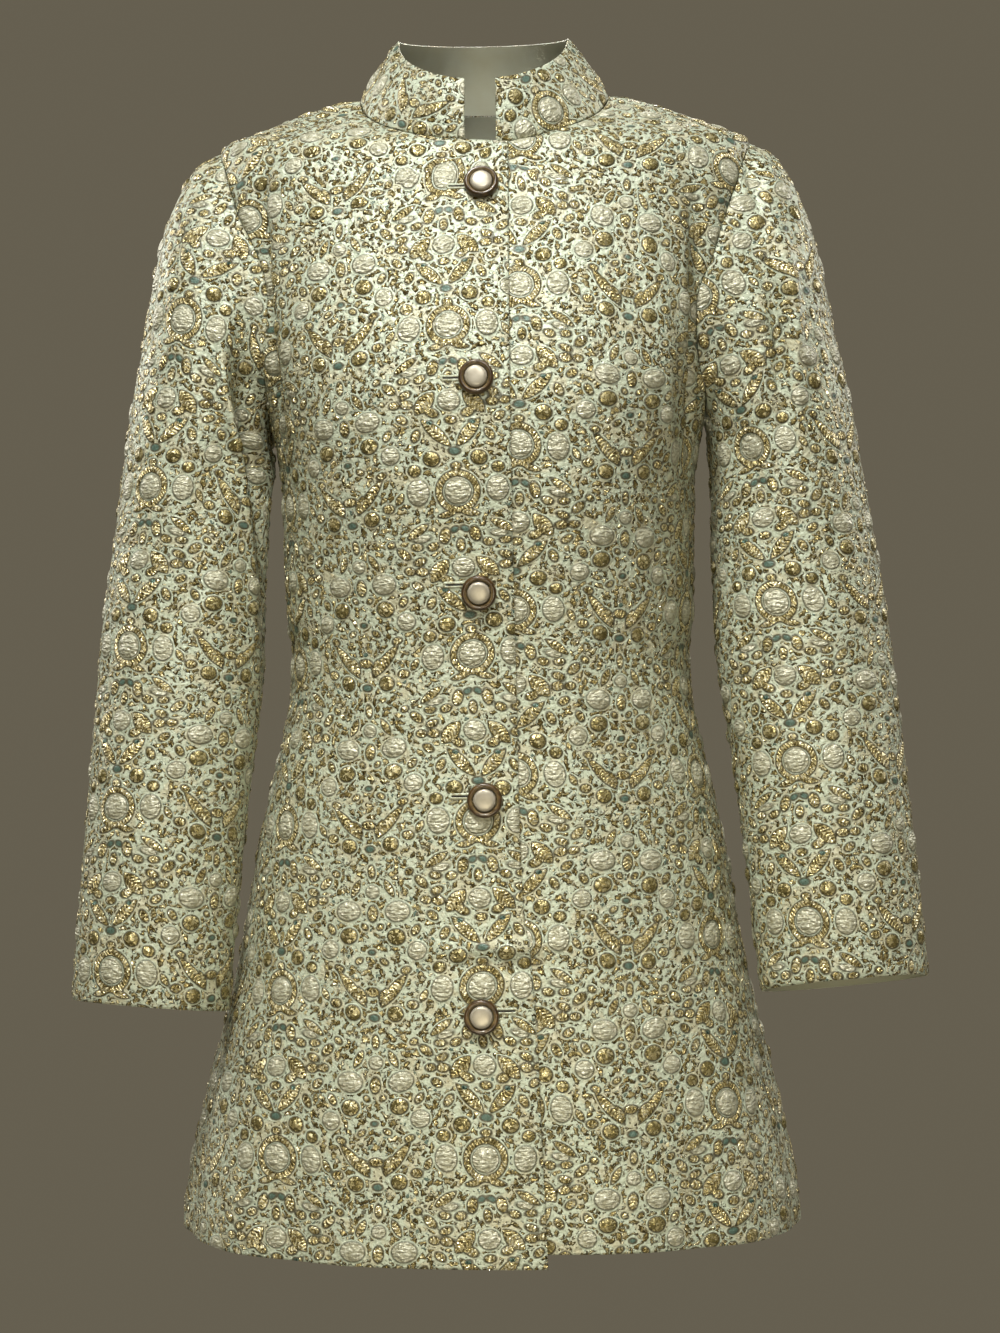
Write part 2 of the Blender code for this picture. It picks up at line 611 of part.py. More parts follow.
def main():
    for old in list(bpy.data.objects):
        bpy.data.objects.remove(old, do_unlink=True)
    jacket = new_collection("brocade_jacket", bpy.context.scene.collection)

    over = front_grid(-1, lambda z: smooth(z, lap["z"], lap["past_centre"]), 0)
    under = front_grid(1, lambda z: np.full_like(z, -UNDER_EDGE_X), UNDER_HEM_LIFT)
    back = back_grid()
    over_out, under_out, back_out = shared_normals([over[:, ::-1], under, back[:, ::-1]])
    over_out = over_out[:, ::-1]
    back_out = back_out[:, ::-1]
    for out in (over_out, under_out):
        out[-1, 1::2] = unit(out[-1, :-1:2] + out[-1, 2::2])
    under = lay_under(under, under_out)

    sleeves = {}
    for side, grid, out in ((-1, over, over_out), (1, under, under_out)):
        sleeves[side] = sleeve_grid(side, grid, back, out, back_out)
    draw_back_seams((over, under), back)
    collar = collar_grid((over, under), back, (over_out, under_out), back_out)

    cloth_wall("front_right", over, over_out, jacket)
    cloth_wall("front_left", under, under_out, jacket)
    cloth_wall("back", back, back_out, jacket)
    for side, name in ((-1, "sleeve_right"), (1, "sleeve_left")):
        out = unit(own_normals(sleeves[side], around=True)) * -side
        cloth_wall(name, sleeves[side], out, jacket, around=True)
    cloth_wall("collar", collar, -unit(own_normals(collar)), jacket)

    for number, (z, x) in enumerate(zip(buttons["z"], buttons["x"]), start=1):
        place = button_place(over, z, x)
        rim = finish(f"button_rim_{number}", RIM_BROWN, 0.25, 0.1)
        turned(f"button_rim_{number}", rim_profile(), True, rim, place, jacket)
        pearl = finish(f"button_pearl_{number}", PEARL_WHITE, 0.35, 0.2)
        turned(f"button_pearl_{number}", pearl_profile(), False, pearl, place, jacket)


main()
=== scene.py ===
# %% [markdown]
# # A brocade jacket, cut piece by cut piece
# This lesson dresses a plain frame of a stand-collared jacket. Each cut piece of cloth becomes a thin shell
# with raised woven figures, and the buttons and buttonholes are made after it. The frame holds the sizes, so
# it is loaded first.

# %% Load the frame
import math

import bmesh
import bpy
import numpy as np
from mathutils import Matrix, Vector


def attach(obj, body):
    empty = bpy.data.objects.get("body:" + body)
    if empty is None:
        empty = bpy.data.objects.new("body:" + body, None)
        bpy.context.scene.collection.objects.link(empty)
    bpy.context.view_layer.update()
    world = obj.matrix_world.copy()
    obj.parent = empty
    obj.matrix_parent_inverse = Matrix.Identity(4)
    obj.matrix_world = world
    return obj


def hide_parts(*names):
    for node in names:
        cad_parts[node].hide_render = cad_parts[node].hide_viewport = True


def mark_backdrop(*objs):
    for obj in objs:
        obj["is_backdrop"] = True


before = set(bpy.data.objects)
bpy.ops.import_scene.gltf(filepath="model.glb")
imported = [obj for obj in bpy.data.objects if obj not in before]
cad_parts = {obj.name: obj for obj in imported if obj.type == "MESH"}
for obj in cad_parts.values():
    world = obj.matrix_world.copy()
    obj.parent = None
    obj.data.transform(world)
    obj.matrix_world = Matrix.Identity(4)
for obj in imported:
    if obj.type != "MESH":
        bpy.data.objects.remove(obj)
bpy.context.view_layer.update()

# %% [markdown]
# ## Small tools for tables and curves
# A garment's form is easiest to keep as short tables of sections. A table can be joined by straight lines,
# by splines that may overshoot, or by a cubic whose slope is limited, which is used here because cloth drawn
# over a body shouldn't ripple between two measured heights.

# %% Tables and curves


def table(columns, rows):
    """Named columns of a table, as arrays."""
    return {name: np.array([row[i] for row in rows], dtype=float) for i, name in enumerate(columns)}


def smooth(at, knots, values):
    """A smooth curve through a table's values that doesn't overshoot between them."""
    order = np.argsort(knots)
    k = knots[order]
    v = values[order]
    step = np.diff(v) / np.diff(k)
    slope = np.empty_like(v)
    slope[0] = step[0]
    slope[-1] = step[-1]
    same = step[:-1] * step[1:] > 0
    total = np.where(same, step[:-1] + step[1:], 1.0)
    slope[1:-1] = np.where(same, 2 * step[:-1] * step[1:] / total, 0.0)
    at = np.clip(at, k[0], k[-1])
    i = np.clip(np.searchsorted(k, at, side="right") - 1, 0, len(k) - 2)
    width = k[i + 1] - k[i]
    t = (at - k[i]) / width
    rise = v[i] * (1 + 2 * t) * (1 - t) ** 2 + v[i + 1] * t * t * (3 - 2 * t)
    return rise + width * (slope[i] * t * (1 - t) ** 2 - slope[i + 1] * t * t * (1 - t))


def ease(t):
    """0 to 1 with a flat start and end."""
    t = np.clip(t, 0, 1)
    return t * t * (3 - 2 * t)


def unit(vectors):
    return vectors / np.maximum(np.linalg.norm(vectors, axis=-1, keepdims=True), 1e-12)


def lengths_along(points, axis):
    """Distance gone along one axis of a grid of points."""
    gone = np.cumsum(np.linalg.norm(np.diff(points, axis=axis), axis=-1), axis=axis)
    return np.insert(gone, 0, 0.0, axis=axis)


# %% [markdown]
# ## The worn body
# A jacket on a wearer is a tube whose level sections are squared ovals. The sections below are the frame's
# own. Folds are added to it as soft ridges and troughs: first the large ones that the frame has too, then the
# finer creases, which lean a little and differ in length and depth as real ones do.

# %% Sizes of the body and its folds
WALL = 0.002
SEAM_GAP = 0.0001
LAP_INSET = 0.0032
LAP_EASE = 0.034
LAP_CLEAR = 0.004
HEM_Z = -0.814
UNDERARM_Z = -0.235
TIP_Z = -0.0365
LAP_TOP_Z = -0.047
UNDER_HEM_LIFT = 0.010
HEM_SIDE_LIFT = 0.005
HEM_LIFT_REACH = 0.034
WAIST_Z = -0.413
HEM_SWAY = -0.004
NECK_HALF_WIDTH = 0.090
NECK_DROP = 0.045
LEAST_GIRTH = 0.02
LEAN_LIMIT = 1.5
UNDER_EDGE_X = -0.022
SCOOP_FRONT = 0.063
SCOOP_BACK = 0.047
SCOOP_SKEW = 0.18
COLLAR_HALF_GAP = 0.0108

FORM_COLUMNS = ("z", "half_width", "front", "back", "squareness")
FORM = (
    (0, 0.09, 0, 0.062, 2),
    (-0.003, 0.108, 0.008, 0.064, 2),
    (-0.0245, 0.165, 0.048, 0.073, 2.1),
    (TIP_Z, 0.1905, 0.068, 0.078, 2.2),
    (-0.047, 0.1935, 0.081, 0.083, 2.2),
    (-0.07, 0.195, 0.09, 0.092, 2.3),
    (-0.11, 0.188, 0.105, 0.105, 2.3),
    (-0.15, 0.178, 0.119, 0.111, 2.3),
    (-0.19, 0.168, 0.13, 0.1125, 2.3),
    (UNDERARM_Z, 0.156, 0.136, 0.111, 2.3),
    (-0.284, 0.148, 0.135, 0.1065, 2.3),
    (-0.327, 0.1472, 0.13, 0.102, 2.3),
    (-0.37, 0.146, 0.125, 0.0975, 2.3),
    (-0.413, 0.1433, 0.122, 0.0952, 2.3),
    (-0.456, 0.149, 0.122, 0.0985, 2.3),
    (-0.5, 0.1591, 0.125, 0.107, 2.3),
    (-0.543, 0.1685, 0.1275, 0.114, 2.25),
    (-0.608, 0.1796, 0.1325, 0.125, 2.2),
    (-0.651, 0.189, 0.136, 0.131, 2.2),
    (-0.716, 0.2059, 0.141, 0.139, 2.2),
    (-0.78, 0.2192, 0.145, 0.147, 2.2),
    (HEM_Z, 0.2235, 0.147, 0.15, 2.2),
)

# Turn from the centre front in degrees, height, reach up and down, width, how far out, lean in degrees
FOLDS = (
    (-36, -0.235, 0.075, 0.05, 0.006, 0),
    (36, -0.235, 0.075, 0.05, 0.006, 0),
    (-57, -0.135, 0.08, 0.012, -0.011, 6),
    (61, -0.185, 0.09, 0.012, -0.0105, -12),
    (63, -0.165, 0.07, 0.0062, -0.0055, -12),
    (47, -0.215, 0.08, 0.013, 0.0035, -10),
    (-48, -0.78, 0.15, 0.03, 0.004, 0),
    (-74, -0.8, 0.13, 0.024, -0.004, 0),
    (52, -0.79, 0.14, 0.028, 0.004, 0),
    (78, -0.8, 0.12, 0.024, -0.003, 0),
    (118, -0.78, 0.15, 0.03, 0.004, 0),
    (146, -0.8, 0.17, 0.032, -0.005, 0),
    (178, -0.79, 0.15, 0.036, 0.004, 0),
    (-150, -0.8, 0.17, 0.03, -0.005, 0),
    (-116, -0.78, 0.15, 0.028, 0.004, 0),
    (150, -0.415, 0.06, 0.022, -0.004, 0),
    (-148, -0.405, 0.06, 0.022, -0.004, 0),
    # Finer creases at the armholes, the lap, the waist, the skirt and the back
    (-66, -0.12, 0.05, 0.009, 0.0018, 8),
    (-69, -0.232, 0.03, 0.01, -0.0018, 9),
    (67, -0.14, 0.055, 0.009, 0.0016, -9),
    (66, -0.232, 0.04, 0.012, -0.0018, -6),
    (3, -0.6, 0.0055, 0.03, 0.0026, 0),
    (2, -0.613, 0.006, 0.026, -0.0014, 0),
    (-78, -0.395, 0.011, 0.04, -0.0018, 0),
    (-70, -0.432, 0.013, 0.034, -0.0014, 0),
    (76, -0.402, 0.012, 0.042, -0.0018, 0),
    (82, -0.44, 0.01, 0.03, -0.0013, 0),
    (-22, -0.8, 0.11, 0.02, 0.0016, -3),
    (-34, -0.81, 0.12, 0.014, -0.0014, -3),
    (27, -0.8, 0.09, 0.018, 0.0015, 3),
    (39, -0.81, 0.1, 0.015, -0.0013, 4),
    (166, -0.392, 0.011, 0.046, -0.002, 0),
    (-168, -0.424, 0.012, 0.052, -0.0018, 0),
    (178, -0.36, 0.01, 0.06, -0.0014, 0),
    (132, -0.155, 0.05, 0.012, -0.0022, 8),
    (-134, -0.17, 0.06, 0.011, -0.0024, -8),
    (163, -0.69, 0.12, 0.018, 0.0018, 3),
    (-166, -0.74, 0.11, 0.016, 0.0016, -2),
)

form = table(FORM_COLUMNS, FORM)
print("body sections:", len(FORM), "folds and creases:", len(FOLDS))

# %% The body as a function


def size_at(z, name):
    return smooth(np.asarray(z, dtype=float), form["z"], form[name])


def on_form(z, turn):
    """Points of the worn body at a height, turned from the centre front towards +X."""
    power = 2 / size_at(z, "squareness")
    across = np.sin(turn)
    ahead = np.cos(turn)
    depth = np.where(ahead > 0, size_at(z, "front"), size_at(z, "back"))
    x = size_at(z, "half_width") * np.sign(across) * np.abs(across) ** power
    y = -depth * np.sign(ahead) * np.abs(ahead) ** power
    out = np.zeros_like(x)
    girth = np.hypot(x, y)
    for at_turn, at_z, reach, width, far, lean in FOLDS:
        along = (z - at_z) / reach
        ridge = math.radians(at_turn) + math.radians(lean) * np.clip(along, -LEAN_LIMIT, LEAN_LIMIT)
        away = np.angle(np.exp(1j * (turn - ridge))) * girth / width
        out = out + far * np.exp(-away ** 2 - along ** 2)
    scale = 1 + out / np.maximum(girth, LEAST_GIRTH)
    sway = HEM_SWAY * ease((WAIST_Z - z) / (WAIST_Z - HEM_Z))
    return np.stack([x * scale + sway, y * scale, np.broadcast_to(z, x.shape)], axis=-1)


def turn_at_x(z, x):
    """The turn at which the front of the body reaches a distance from the centre."""
    share = np.clip(np.abs(x) / size_at(z, "half_width"), 0, 1)
    return np.sign(x) * np.arcsin(share ** (size_at(z, "squareness") / 2))


def turn_at_y(z, y):
    """The turn, on the +X side, at which the body reaches a depth."""
    depth = np.where(y <= 0, size_at(z, "front"), size_at(z, "back"))
    share = np.clip(np.abs(y) / depth, 0, 1) ** (size_at(z, "squareness") / 2)
    return np.where(y <= 0, np.arccos(share), math.pi - np.arccos(share))


def armhole(side_y, rows):
    """Heights and turns of one side of the armhole, from the underarm up to the shoulder tip."""
    around = np.linspace(math.pi, 0, rows + 1)
    middle = (UNDERARM_Z + TIP_Z) / 2
    half = (TIP_Z - UNDERARM_Z) / 2
    z = middle + half * np.cos(around)
    scoop = SCOOP_FRONT if side_y < 0 else SCOOP_BACK
    y = side_y * scoop * np.sin(around) * (1 - SCOOP_SKEW * np.cos(around))
    return z, turn_at_y(z, y)


# %% [markdown]
# ## Fronts and back
# A front runs from its buttoned edge and neckline to its side seam, armhole and shoulder; the back runs from
# side to side. A sculptor would push one mesh about until it fits. Here each row of a grid follows a path on
# the body and its points are spaced evenly along it, so the cloth keeps an even weave to carry the figures.
# Every count is a multiple of eight, because each eighth point is enough to press a piece flat, and each
# fourth for the plain reverse of the cloth.

# %% Rows and edges
EVERY = 8
REVERSE_EVERY = 4
FRONT_SKIRT_ROWS = 352
FRONT_ARM_ROWS = 168
FRONT_COLUMNS = 152
BACK_SKIRT_ROWS = 232
BACK_ARM_ROWS = 112
HALF_BACK_COLUMNS = 128
EDGE_SHARE = 5 / 12
CORNER_SHARE = 1 / 12
FINE = 640

# Height, and how far the lap's edge lies past the centre
LAP = (
    (LAP_TOP_Z, 0.0195),
    (-0.22, 0.02),
    (-0.36, 0.021),
    (-0.5, 0.023),
    (-0.575, 0.0265),
    (-0.6, 0.0305),
    (-0.645, 0.035),
    (HEM_Z, 0.043),
)
LAP_HEIGHTS, LAP_PAST = np.array(LAP).T


def lap_past(z):
    return smooth(z, LAP_HEIGHTS, LAP_PAST)


def even_rows(z, turn, columns, side, corner=None):
    """Rows of points spaced evenly along their paths; a corner's share shifts the spacing to meet it."""
    gone = lengths_along(on_form(z, side * turn), 1)
    along = np.linspace(0, 1, columns + 1)
    at_z = np.empty((len(z), columns + 1))
    at_turn = np.empty_like(at_z)
    for row in range(len(z)):
        stops = along
        if corner is not None:
            middle = np.interp(FINE / 2, np.arange(FINE), gone[row]) / gone[row, -1]
            stops = np.interp(along, [0, 0.5, 1], [0, 0.5 + corner[row] * (middle - 0.5), 1])
        at_z[row] = np.interp(stops * gone[row, -1], gone[row], z[row])
        at_turn[row] = np.interp(stops * gone[row, -1], gone[row], turn[row])
    return on_form(at_z, side * at_turn)


def skirt_heights(rows):
    return np.linspace(HEM_Z, UNDERARM_Z, rows + 1)[:-1]


def hem_lift(z, lift):
    """Heights near the hem raised by a lift that fades upwards."""
    return z + lift * np.clip(1 - (z - HEM_Z) / HEM_LIFT_REACH, 0, 1)


def side_edge(side_y, skirt, arm_rows):
    """Heights and turns of a side seam and of its half of the armhole above."""
    arm_z, arm_turn = armhole(side_y, arm_rows)
    z = np.concatenate([hem_lift(skirt, HEM_SIDE_LIFT), arm_z])
    return z, np.concatenate([np.full(len(skirt), math.pi / 2), arm_turn])


def between(start, end, along):
    """Rows of values that run evenly from a start to an end."""
    return start[:, None] + (end - start)[:, None] * along


# %% Grids of the fronts and the back


def front_grid(side, past_centre, lift):
    """One front, from its front edge and neckline to its side, armhole and shoulder seam."""
    skirt = skirt_heights(FRONT_SKIRT_ROWS)
    end_z, end_turn = side_edge(-1, skirt, FRONT_ARM_ROWS)
    edge_rows = round(FRONT_ARM_ROWS * EDGE_SHARE)
    corner_rows = round(FRONT_ARM_ROWS * CORNER_SHARE)
    edge_z = np.concatenate([skirt, np.linspace(UNDERARM_Z, LAP_TOP_Z, edge_rows + 1)])
    edge_x = -past_centre(edge_z)
    neck_rows = FRONT_ARM_ROWS - edge_rows - corner_rows
    neck = np.linspace(math.asin(COLLAR_HALF_GAP / NECK_HALF_WIDTH), math.pi / 2, neck_rows + 1)
    neck_x = NECK_HALF_WIDTH * np.sin(neck)
    neck_z = -NECK_DROP * np.cos(neck)
    across = np.linspace(0, 1, corner_rows + 1)[1:-1]
    start_x = np.concatenate([edge_x, edge_x[-1] + (neck_x[0] - edge_x[-1]) * across, neck_x])
    start_z = np.concatenate([edge_z, edge_z[-1] + (neck_z[0] - edge_z[-1]) * across, neck_z])
    start_turn = turn_at_x(start_z, start_x)
    start_z = hem_lift(start_z, lift)
    along = np.linspace(0, 1, FINE)
    z = between(start_z, end_z, along)
    turn = between(start_turn, end_turn, along)
    return even_rows(z, turn, FRONT_COLUMNS, side)


def back_grid():
    """The back, from one side and armhole to the other, up to the shoulder seams and back neckline."""
    skirt = skirt_heights(BACK_SKIRT_ROWS)
    end_z, end_turn = side_edge(1, skirt, BACK_ARM_ROWS)
    middle_z = np.concatenate([skirt, np.linspace(UNDERARM_Z, 0, BACK_ARM_ROWS + 1)])
    rise = np.concatenate([np.zeros(BACK_SKIRT_ROWS), np.linspace(0, 1, BACK_ARM_ROWS + 1) ** 2])
    along = np.linspace(0, 1, FINE)
    top_z = np.interp(along, [0, 0.5, 1], [0, 0, TIP_Z])
    top_turn = np.interp(along, [0, 0.5, 1], [math.pi, math.pi / 2, math.pi / 2])
    z = between(middle_z, end_z, along) + rise[:, None] * (top_z - along * TIP_Z)
    turn = between(np.full_like(end_turn, math.pi), end_turn, along)
    turn = turn + rise[:, None] * (top_turn - (math.pi - along * math.pi / 2))
    left, right = (even_rows(z, turn, HALF_BACK_COLUMNS, side, rise) for side in (-1, 1))
    return np.concatenate([left[:, ::-1], right[:, 1:]], axis=1)


over = front_grid(-1, lap_past, 0)
under = front_grid(1, lambda z: np.full_like(z, -UNDER_EDGE_X), UNDER_HEM_LIFT)
back = back_grid()
print("grids:", over.shape, under.shape, back.shape)

# %% [markdown]
# ## Which way is out
# Relief is raised along the cloth's normals. They could be read from Blender's mesh, but the pieces aren't
# meshes yet, so they come from the grid's own diagonals, and are turned to point away from the body's middle.

# %% Normals and seams


def normals_of(points, centre, around=False):
    """Unit normals of a grid's points, pointing away from a line of centres."""
    faces = np.cross(points[1:, 1:] - points[:-1, :-1], points[1:, :-1] - points[:-1, 1:])
    total = np.zeros_like(points)
    for r in (0, 1):
        for c in (0, 1):
            total[r:points.shape[0] - 1 + r, c:points.shape[1] - 1 + c] += faces
    if around:
        total[:, 0] += total[:, -1]
        total[:, -1] = total[:, 0]
    total = unit(total)
    return total * np.sign(np.sum(total * (points - centre)))


def seat(edge, normal, inner, away):
    """A sewn-on edge laid clear of the edge that carries it, whichever way it leaves."""
    run = unit(np.gradient(edge, axis=0))
    off = np.cross(normal, run)
    off = unit(off * np.sign(np.sum(off * (edge - inner), axis=1, keepdims=True)))
    leave = unit(away - edge)
    bend = np.arctan2(
        np.maximum(np.sum(leave * normal, axis=1, keepdims=True), 0),
        np.sum(leave * off, axis=1, keepdims=True),
    )
    return edge + SEAM_GAP * (off * np.cos(bend / 2) + normal * np.sin(bend / 2))


def body_centres(points):
    """The body's upright axis beside each point."""
    return points * np.array([0, 0, 1])


over_out = normals_of(over, body_centres(over))
under_out = normals_of(under, body_centres(under))
back_out = normals_of(back, body_centres(back))
under_past = under[..., 0] - lap_past(under[..., 2])
under = under - under_out * (LAP_INSET * (1 - ease((under_past - LAP_CLEAR) / LAP_EASE)))[..., None]
print("under front sunk beneath the lap by", LAP_INSET * 1000, "mm")

# %% [markdown]
# ## Sleeves
# A set-in sleeve is a tube that starts on the slanted loop of the armhole and ends at the cuff. It could be
# swept along a curve, but its section changes as it falls, so it is lofted through a table of sections and
# its first ring is laid on the armhole. Little gathers at its head ease out below the seam.

# %% Sections and folds of the sleeves
SLEEVE_RINGS = 352
SLEEVE_AROUND = 208
SEAT_FADE = 0.25
CUFF_TILT_FROM = 0.6

SLEEVE_COLUMNS = ("outer_x", "outer_z", "inner_x", "inner_z", "front", "back", "middle_y")
SLEEVE = (
    (0.1905, TIP_Z, 0.156, UNDERARM_Z, 0.062, 0.05, 0),
    (0.208, -0.048, 0.1566, -0.24, 0.06, 0.055, -0.001),
    (0.23, -0.089, 0.1572, -0.247, 0.061, 0.059, -0.003),
    (0.241, -0.1325, 0.158, -0.256, 0.061, 0.06, -0.004),
    (0.2495, -0.176, 0.159, -0.268, 0.06, 0.06, -0.004),
    (0.2585, -0.219, 0.1598, -0.284, 0.058, 0.058, -0.004),
    (0.2722, -0.305, 0.1596, -0.33, 0.057, 0.057, -0.005),
    (0.2851, -0.392, 0.1612, -0.4, 0.055, 0.055, -0.009),
    (0.2912, -0.4565, 0.1678, -0.4565, 0.052, 0.052, -0.014),
    (0.2974, -0.521, 0.1764, -0.521, 0.049, 0.049, -0.02),
    (0.3038, -0.593, 0.184, -0.595, 0.046, 0.046, -0.026),
    (0.3078, -0.6415, 0.1894, -0.6516, 0.044, 0.044, -0.03),
)
# By side: swing in degrees, forward, lift, how much narrower, and how far the back of the cuff drops
HANG = {-1: (-0.3, 0.022, 0.0, 0.008, 0.008), 1: (0.0, 0.004, 0.009, 0.0, 0.016)}

# By side: turn from the underarm through the front, place down the sleeve, slant, half length, half width in
# turn, how far out. The large folds come first, then the pleat in the left head, gathers and finer creases
SLEEVE_FOLDS = {
    -1: (
        (31, 0.34, -22, 0.2, 13.5, -0.0195), (352, 0.38, 0, 0.12, 20, 0.005), (58, 0.33, -22, 0.19, 7, 0.008),
        (75, 0.52, 18, 0.14, 12, -0.003), (250, 0.55, 60, 0.12, 14, -0.005), (300, 0.45, 40, 0.12, 14, -0.004),
        (150, 0.3, -6, 0.09, 3.5, -0.0013), (158, 0.36, 4, 0.1, 3.2, 0.0011),
        (142, 0.38, -5, 0.08, 3.4, -0.001), (150, 0.085, 0, 0.05, 4, -0.0016),
        (161, 0.075, 2, 0.04, 3.6, 0.0013), (171, 0.09, 0, 0.05, 4.2, -0.0014),
        (186, 0.08, -3, 0.05, 4.4, 0.0012), (203, 0.085, 0, 0.06, 4, -0.0015), (96, 0.62, 26, 0.05, 6, -0.0018),
        (60, 0.7, -20, 0.06, 7, -0.0016), (128, 0.8, 16, 0.08, 6, 0.0014), (268, 0.64, -24, 0.05, 7, -0.002),
        (224, 0.72, 18, 0.07, 7, 0.0016),
    ),
    1: (
        (99, 0.26, -8, 0.16, 7.5, -0.008), (116, 0.26, -9, 0.15, 7, 0.0045), (60, 0.46, 20, 0.16, 12, -0.003),
        (246, 0.52, 60, 0.12, 14, -0.005), (296, 0.42, 40, 0.12, 14, -0.004),
        (134, 0.06, -8, 0.045, 7, -0.0068), (150, 0.065, -8, 0.045, 6, 0.0035),
        (168, 0.085, -2, 0.05, 3.8, 0.0014), (182, 0.08, 0, 0.06, 4.6, -0.0014),
        (199, 0.09, 3, 0.05, 4.2, 0.0013), (100, 0.6, -24, 0.05, 6, -0.0018), (64, 0.68, 22, 0.06, 7, -0.0016),
        (124, 0.84, -14, 0.08, 6, 0.0014), (262, 0.62, 26, 0.05, 7, -0.002), (218, 0.74, -16, 0.07, 7, 0.0016),
    ),
}
sleeve = table(SLEEVE_COLUMNS, SLEEVE)
SLEEVE_KNOTS = np.linspace(0, 1, len(SLEEVE))
print("folds by sleeve:", {side: len(rows) for side, rows in SLEEVE_FOLDS.items()})

# %% Loft the sleeves


def sleeve_at(down):
    """The sleeve's measures at places down it."""
    return {name: smooth(down, SLEEVE_KNOTS, sleeve[name]) for name in SLEEVE_COLUMNS}


def even_downs():
    """Places down the sleeve that lie evenly along its outer line."""
    fine = np.linspace(0, 1, FINE)
    at = sleeve_at(fine)
    outer = np.stack([at["outer_x"], at["outer_z"]], axis=-1)
    gone = lengths_along(outer, 0)
    return np.interp(np.linspace(0, gone[-1], SLEEVE_RINGS + 1), gone, fine)


def sleeve_sections(side, down):
    """Rings of a sleeve from the shoulder to the cuff, each from the underarm round by the front."""
    at = {name: values[:, None] for name, values in sleeve_at(down).items()}
    swing, forward, lift, narrower, back_drop = HANG[side]
    low = ease(down)[:, None]
    at["outer_x"] = at["outer_x"] - narrower * low
    around = np.linspace(0, 2 * math.pi, SLEEVE_AROUND + 1)[None, :]
    span = np.cos(around)
    depth = np.where(np.sin(around) > 0, at["front"], at["back"])
    x = (at["outer_x"] + at["inner_x"]) / 2 - span * (at["outer_x"] - at["inner_x"]) / 2
    z = (at["outer_z"] + at["inner_z"]) / 2 - span * (at["outer_z"] - at["inner_z"]) / 2
    out = np.zeros_like(x)
    for turn, at_down, slant, reach, width, far in SLEEVE_FOLDS[side]:
        past = down[:, None] - at_down
        ridge = turn + slant * past / reach
        away = np.angle(np.exp(1j * (around - np.radians(ridge)))) / math.radians(width)
        out = out + far * np.exp(-away ** 2 - (past / reach) ** 2)
    x = x - out * span
    y = at["middle_y"] - forward * low - np.sin(around) * (depth + out)
    tilt = ease((down[:, None] - CUFF_TILT_FROM) / (1 - CUFF_TILT_FROM))
    z = z + np.sin(around) * back_drop / 2 * tilt
    z = z + lift * low
    angle = math.radians(swing) * low
    tip_x = sleeve["outer_x"][0]
    turned_x = tip_x + (x - tip_x) * np.cos(angle) - (z - TIP_Z) * np.sin(angle)
    turned_z = TIP_Z + (z - TIP_Z) * np.cos(angle) + (x - tip_x) * np.sin(angle)
    return np.stack([side * turned_x, y, turned_z], axis=-1)


# %% Seat the sleeves on the armholes


def resample(points, count):
    """Points taken at even steps along a list of points."""
    at = np.linspace(0, len(points) - 1, count)
    return np.stack([np.interp(at, np.arange(len(points)), points[:, i]) for i in range(3)], axis=-1)


def armhole_loop(front_values, back_values, column, back_column):
    """Values round an armhole, up its front and down its back, at the sleeve's own spacing."""
    half = SLEEVE_AROUND // 2 + 1
    rise = resample(front_values[FRONT_SKIRT_ROWS:, column], half)
    fall = resample(back_values[BACK_SKIRT_ROWS:, back_column][::-1], half)
    return np.concatenate([rise, fall[1:]])


def sleeve_grid(side, front, front_out):
    """A sleeve from its cuff up to its head, which is seated on the armhole."""
    ends = (-1, -2) if side > 0 else (0, 1)
    edge = armhole_loop(front, back, -1, ends[0])
    inner = armhole_loop(front, back, -2, ends[1])
    normal = unit(armhole_loop(front_out, back_out, -1, ends[0]))
    down = even_downs()
    rings = sleeve_sections(side, down)
    fade = np.clip(1 - down / SEAT_FADE, 0, 1)[:, None, None] ** 2
    loose = rings + (edge - rings[0])[None] * fade
    seated = seat(edge, normal, inner, loose[EVERY])
    seated[-1] = seated[0]
    return (rings + (seated - rings[0])[None] * fade)[::-1]


sleeve_fronts = {-1: (over, over_out), 1: (under, under_out)}
sleeves = {side: sleeve_grid(side, *front) for side, front in sleeve_fronts.items()}
sleeves_out = {
    side: normals_of(grid, grid.mean(axis=1, keepdims=True), around=True) for side, grid in sleeves.items()
}
print("sleeves:", sleeves[1].shape)

# %% [markdown]
# ## Collar
# The stand collar is a narrow band sewn to the neckline that leans in as it rises and leaves a small gap at
# the throat. Its foot follows the neckline of the fronts and the back, and its top is an oval of its own.

# %% Grid of the collar
COLLAR_STEPS = 288
COLLAR_ROWS = 32
COLLAR_TOP_HALF_WIDTH = 0.062
COLLAR_TOP_FRONT = 0.074
COLLAR_TOP_BACK = 0.046
COLLAR_SIDE_TOP_Z = 0.0425
COLLAR_FRONT_TOP_Z = -0.002
COLLAR_BACK_TOP_Z = 0.048
COLLAR_BULGE = 0.002
FOOT_INSET = 2


def neckline(over_values, under_values, back_values, inset):
    """Values round the neckline, from the lap's side over the nape to the other side."""
    first = FRONT_SKIRT_ROWS + round(FRONT_ARM_ROWS * (EDGE_SHARE + CORNER_SHARE))
    reach = HALF_BACK_COLUMNS // 2
    nape = back_values[-1 - inset, reach + 1:-reach - 1]
    loop = np.concatenate([over_values[first:, inset], nape, under_values[first:, inset][::-1]])
    return resample(loop, COLLAR_STEPS + 1)


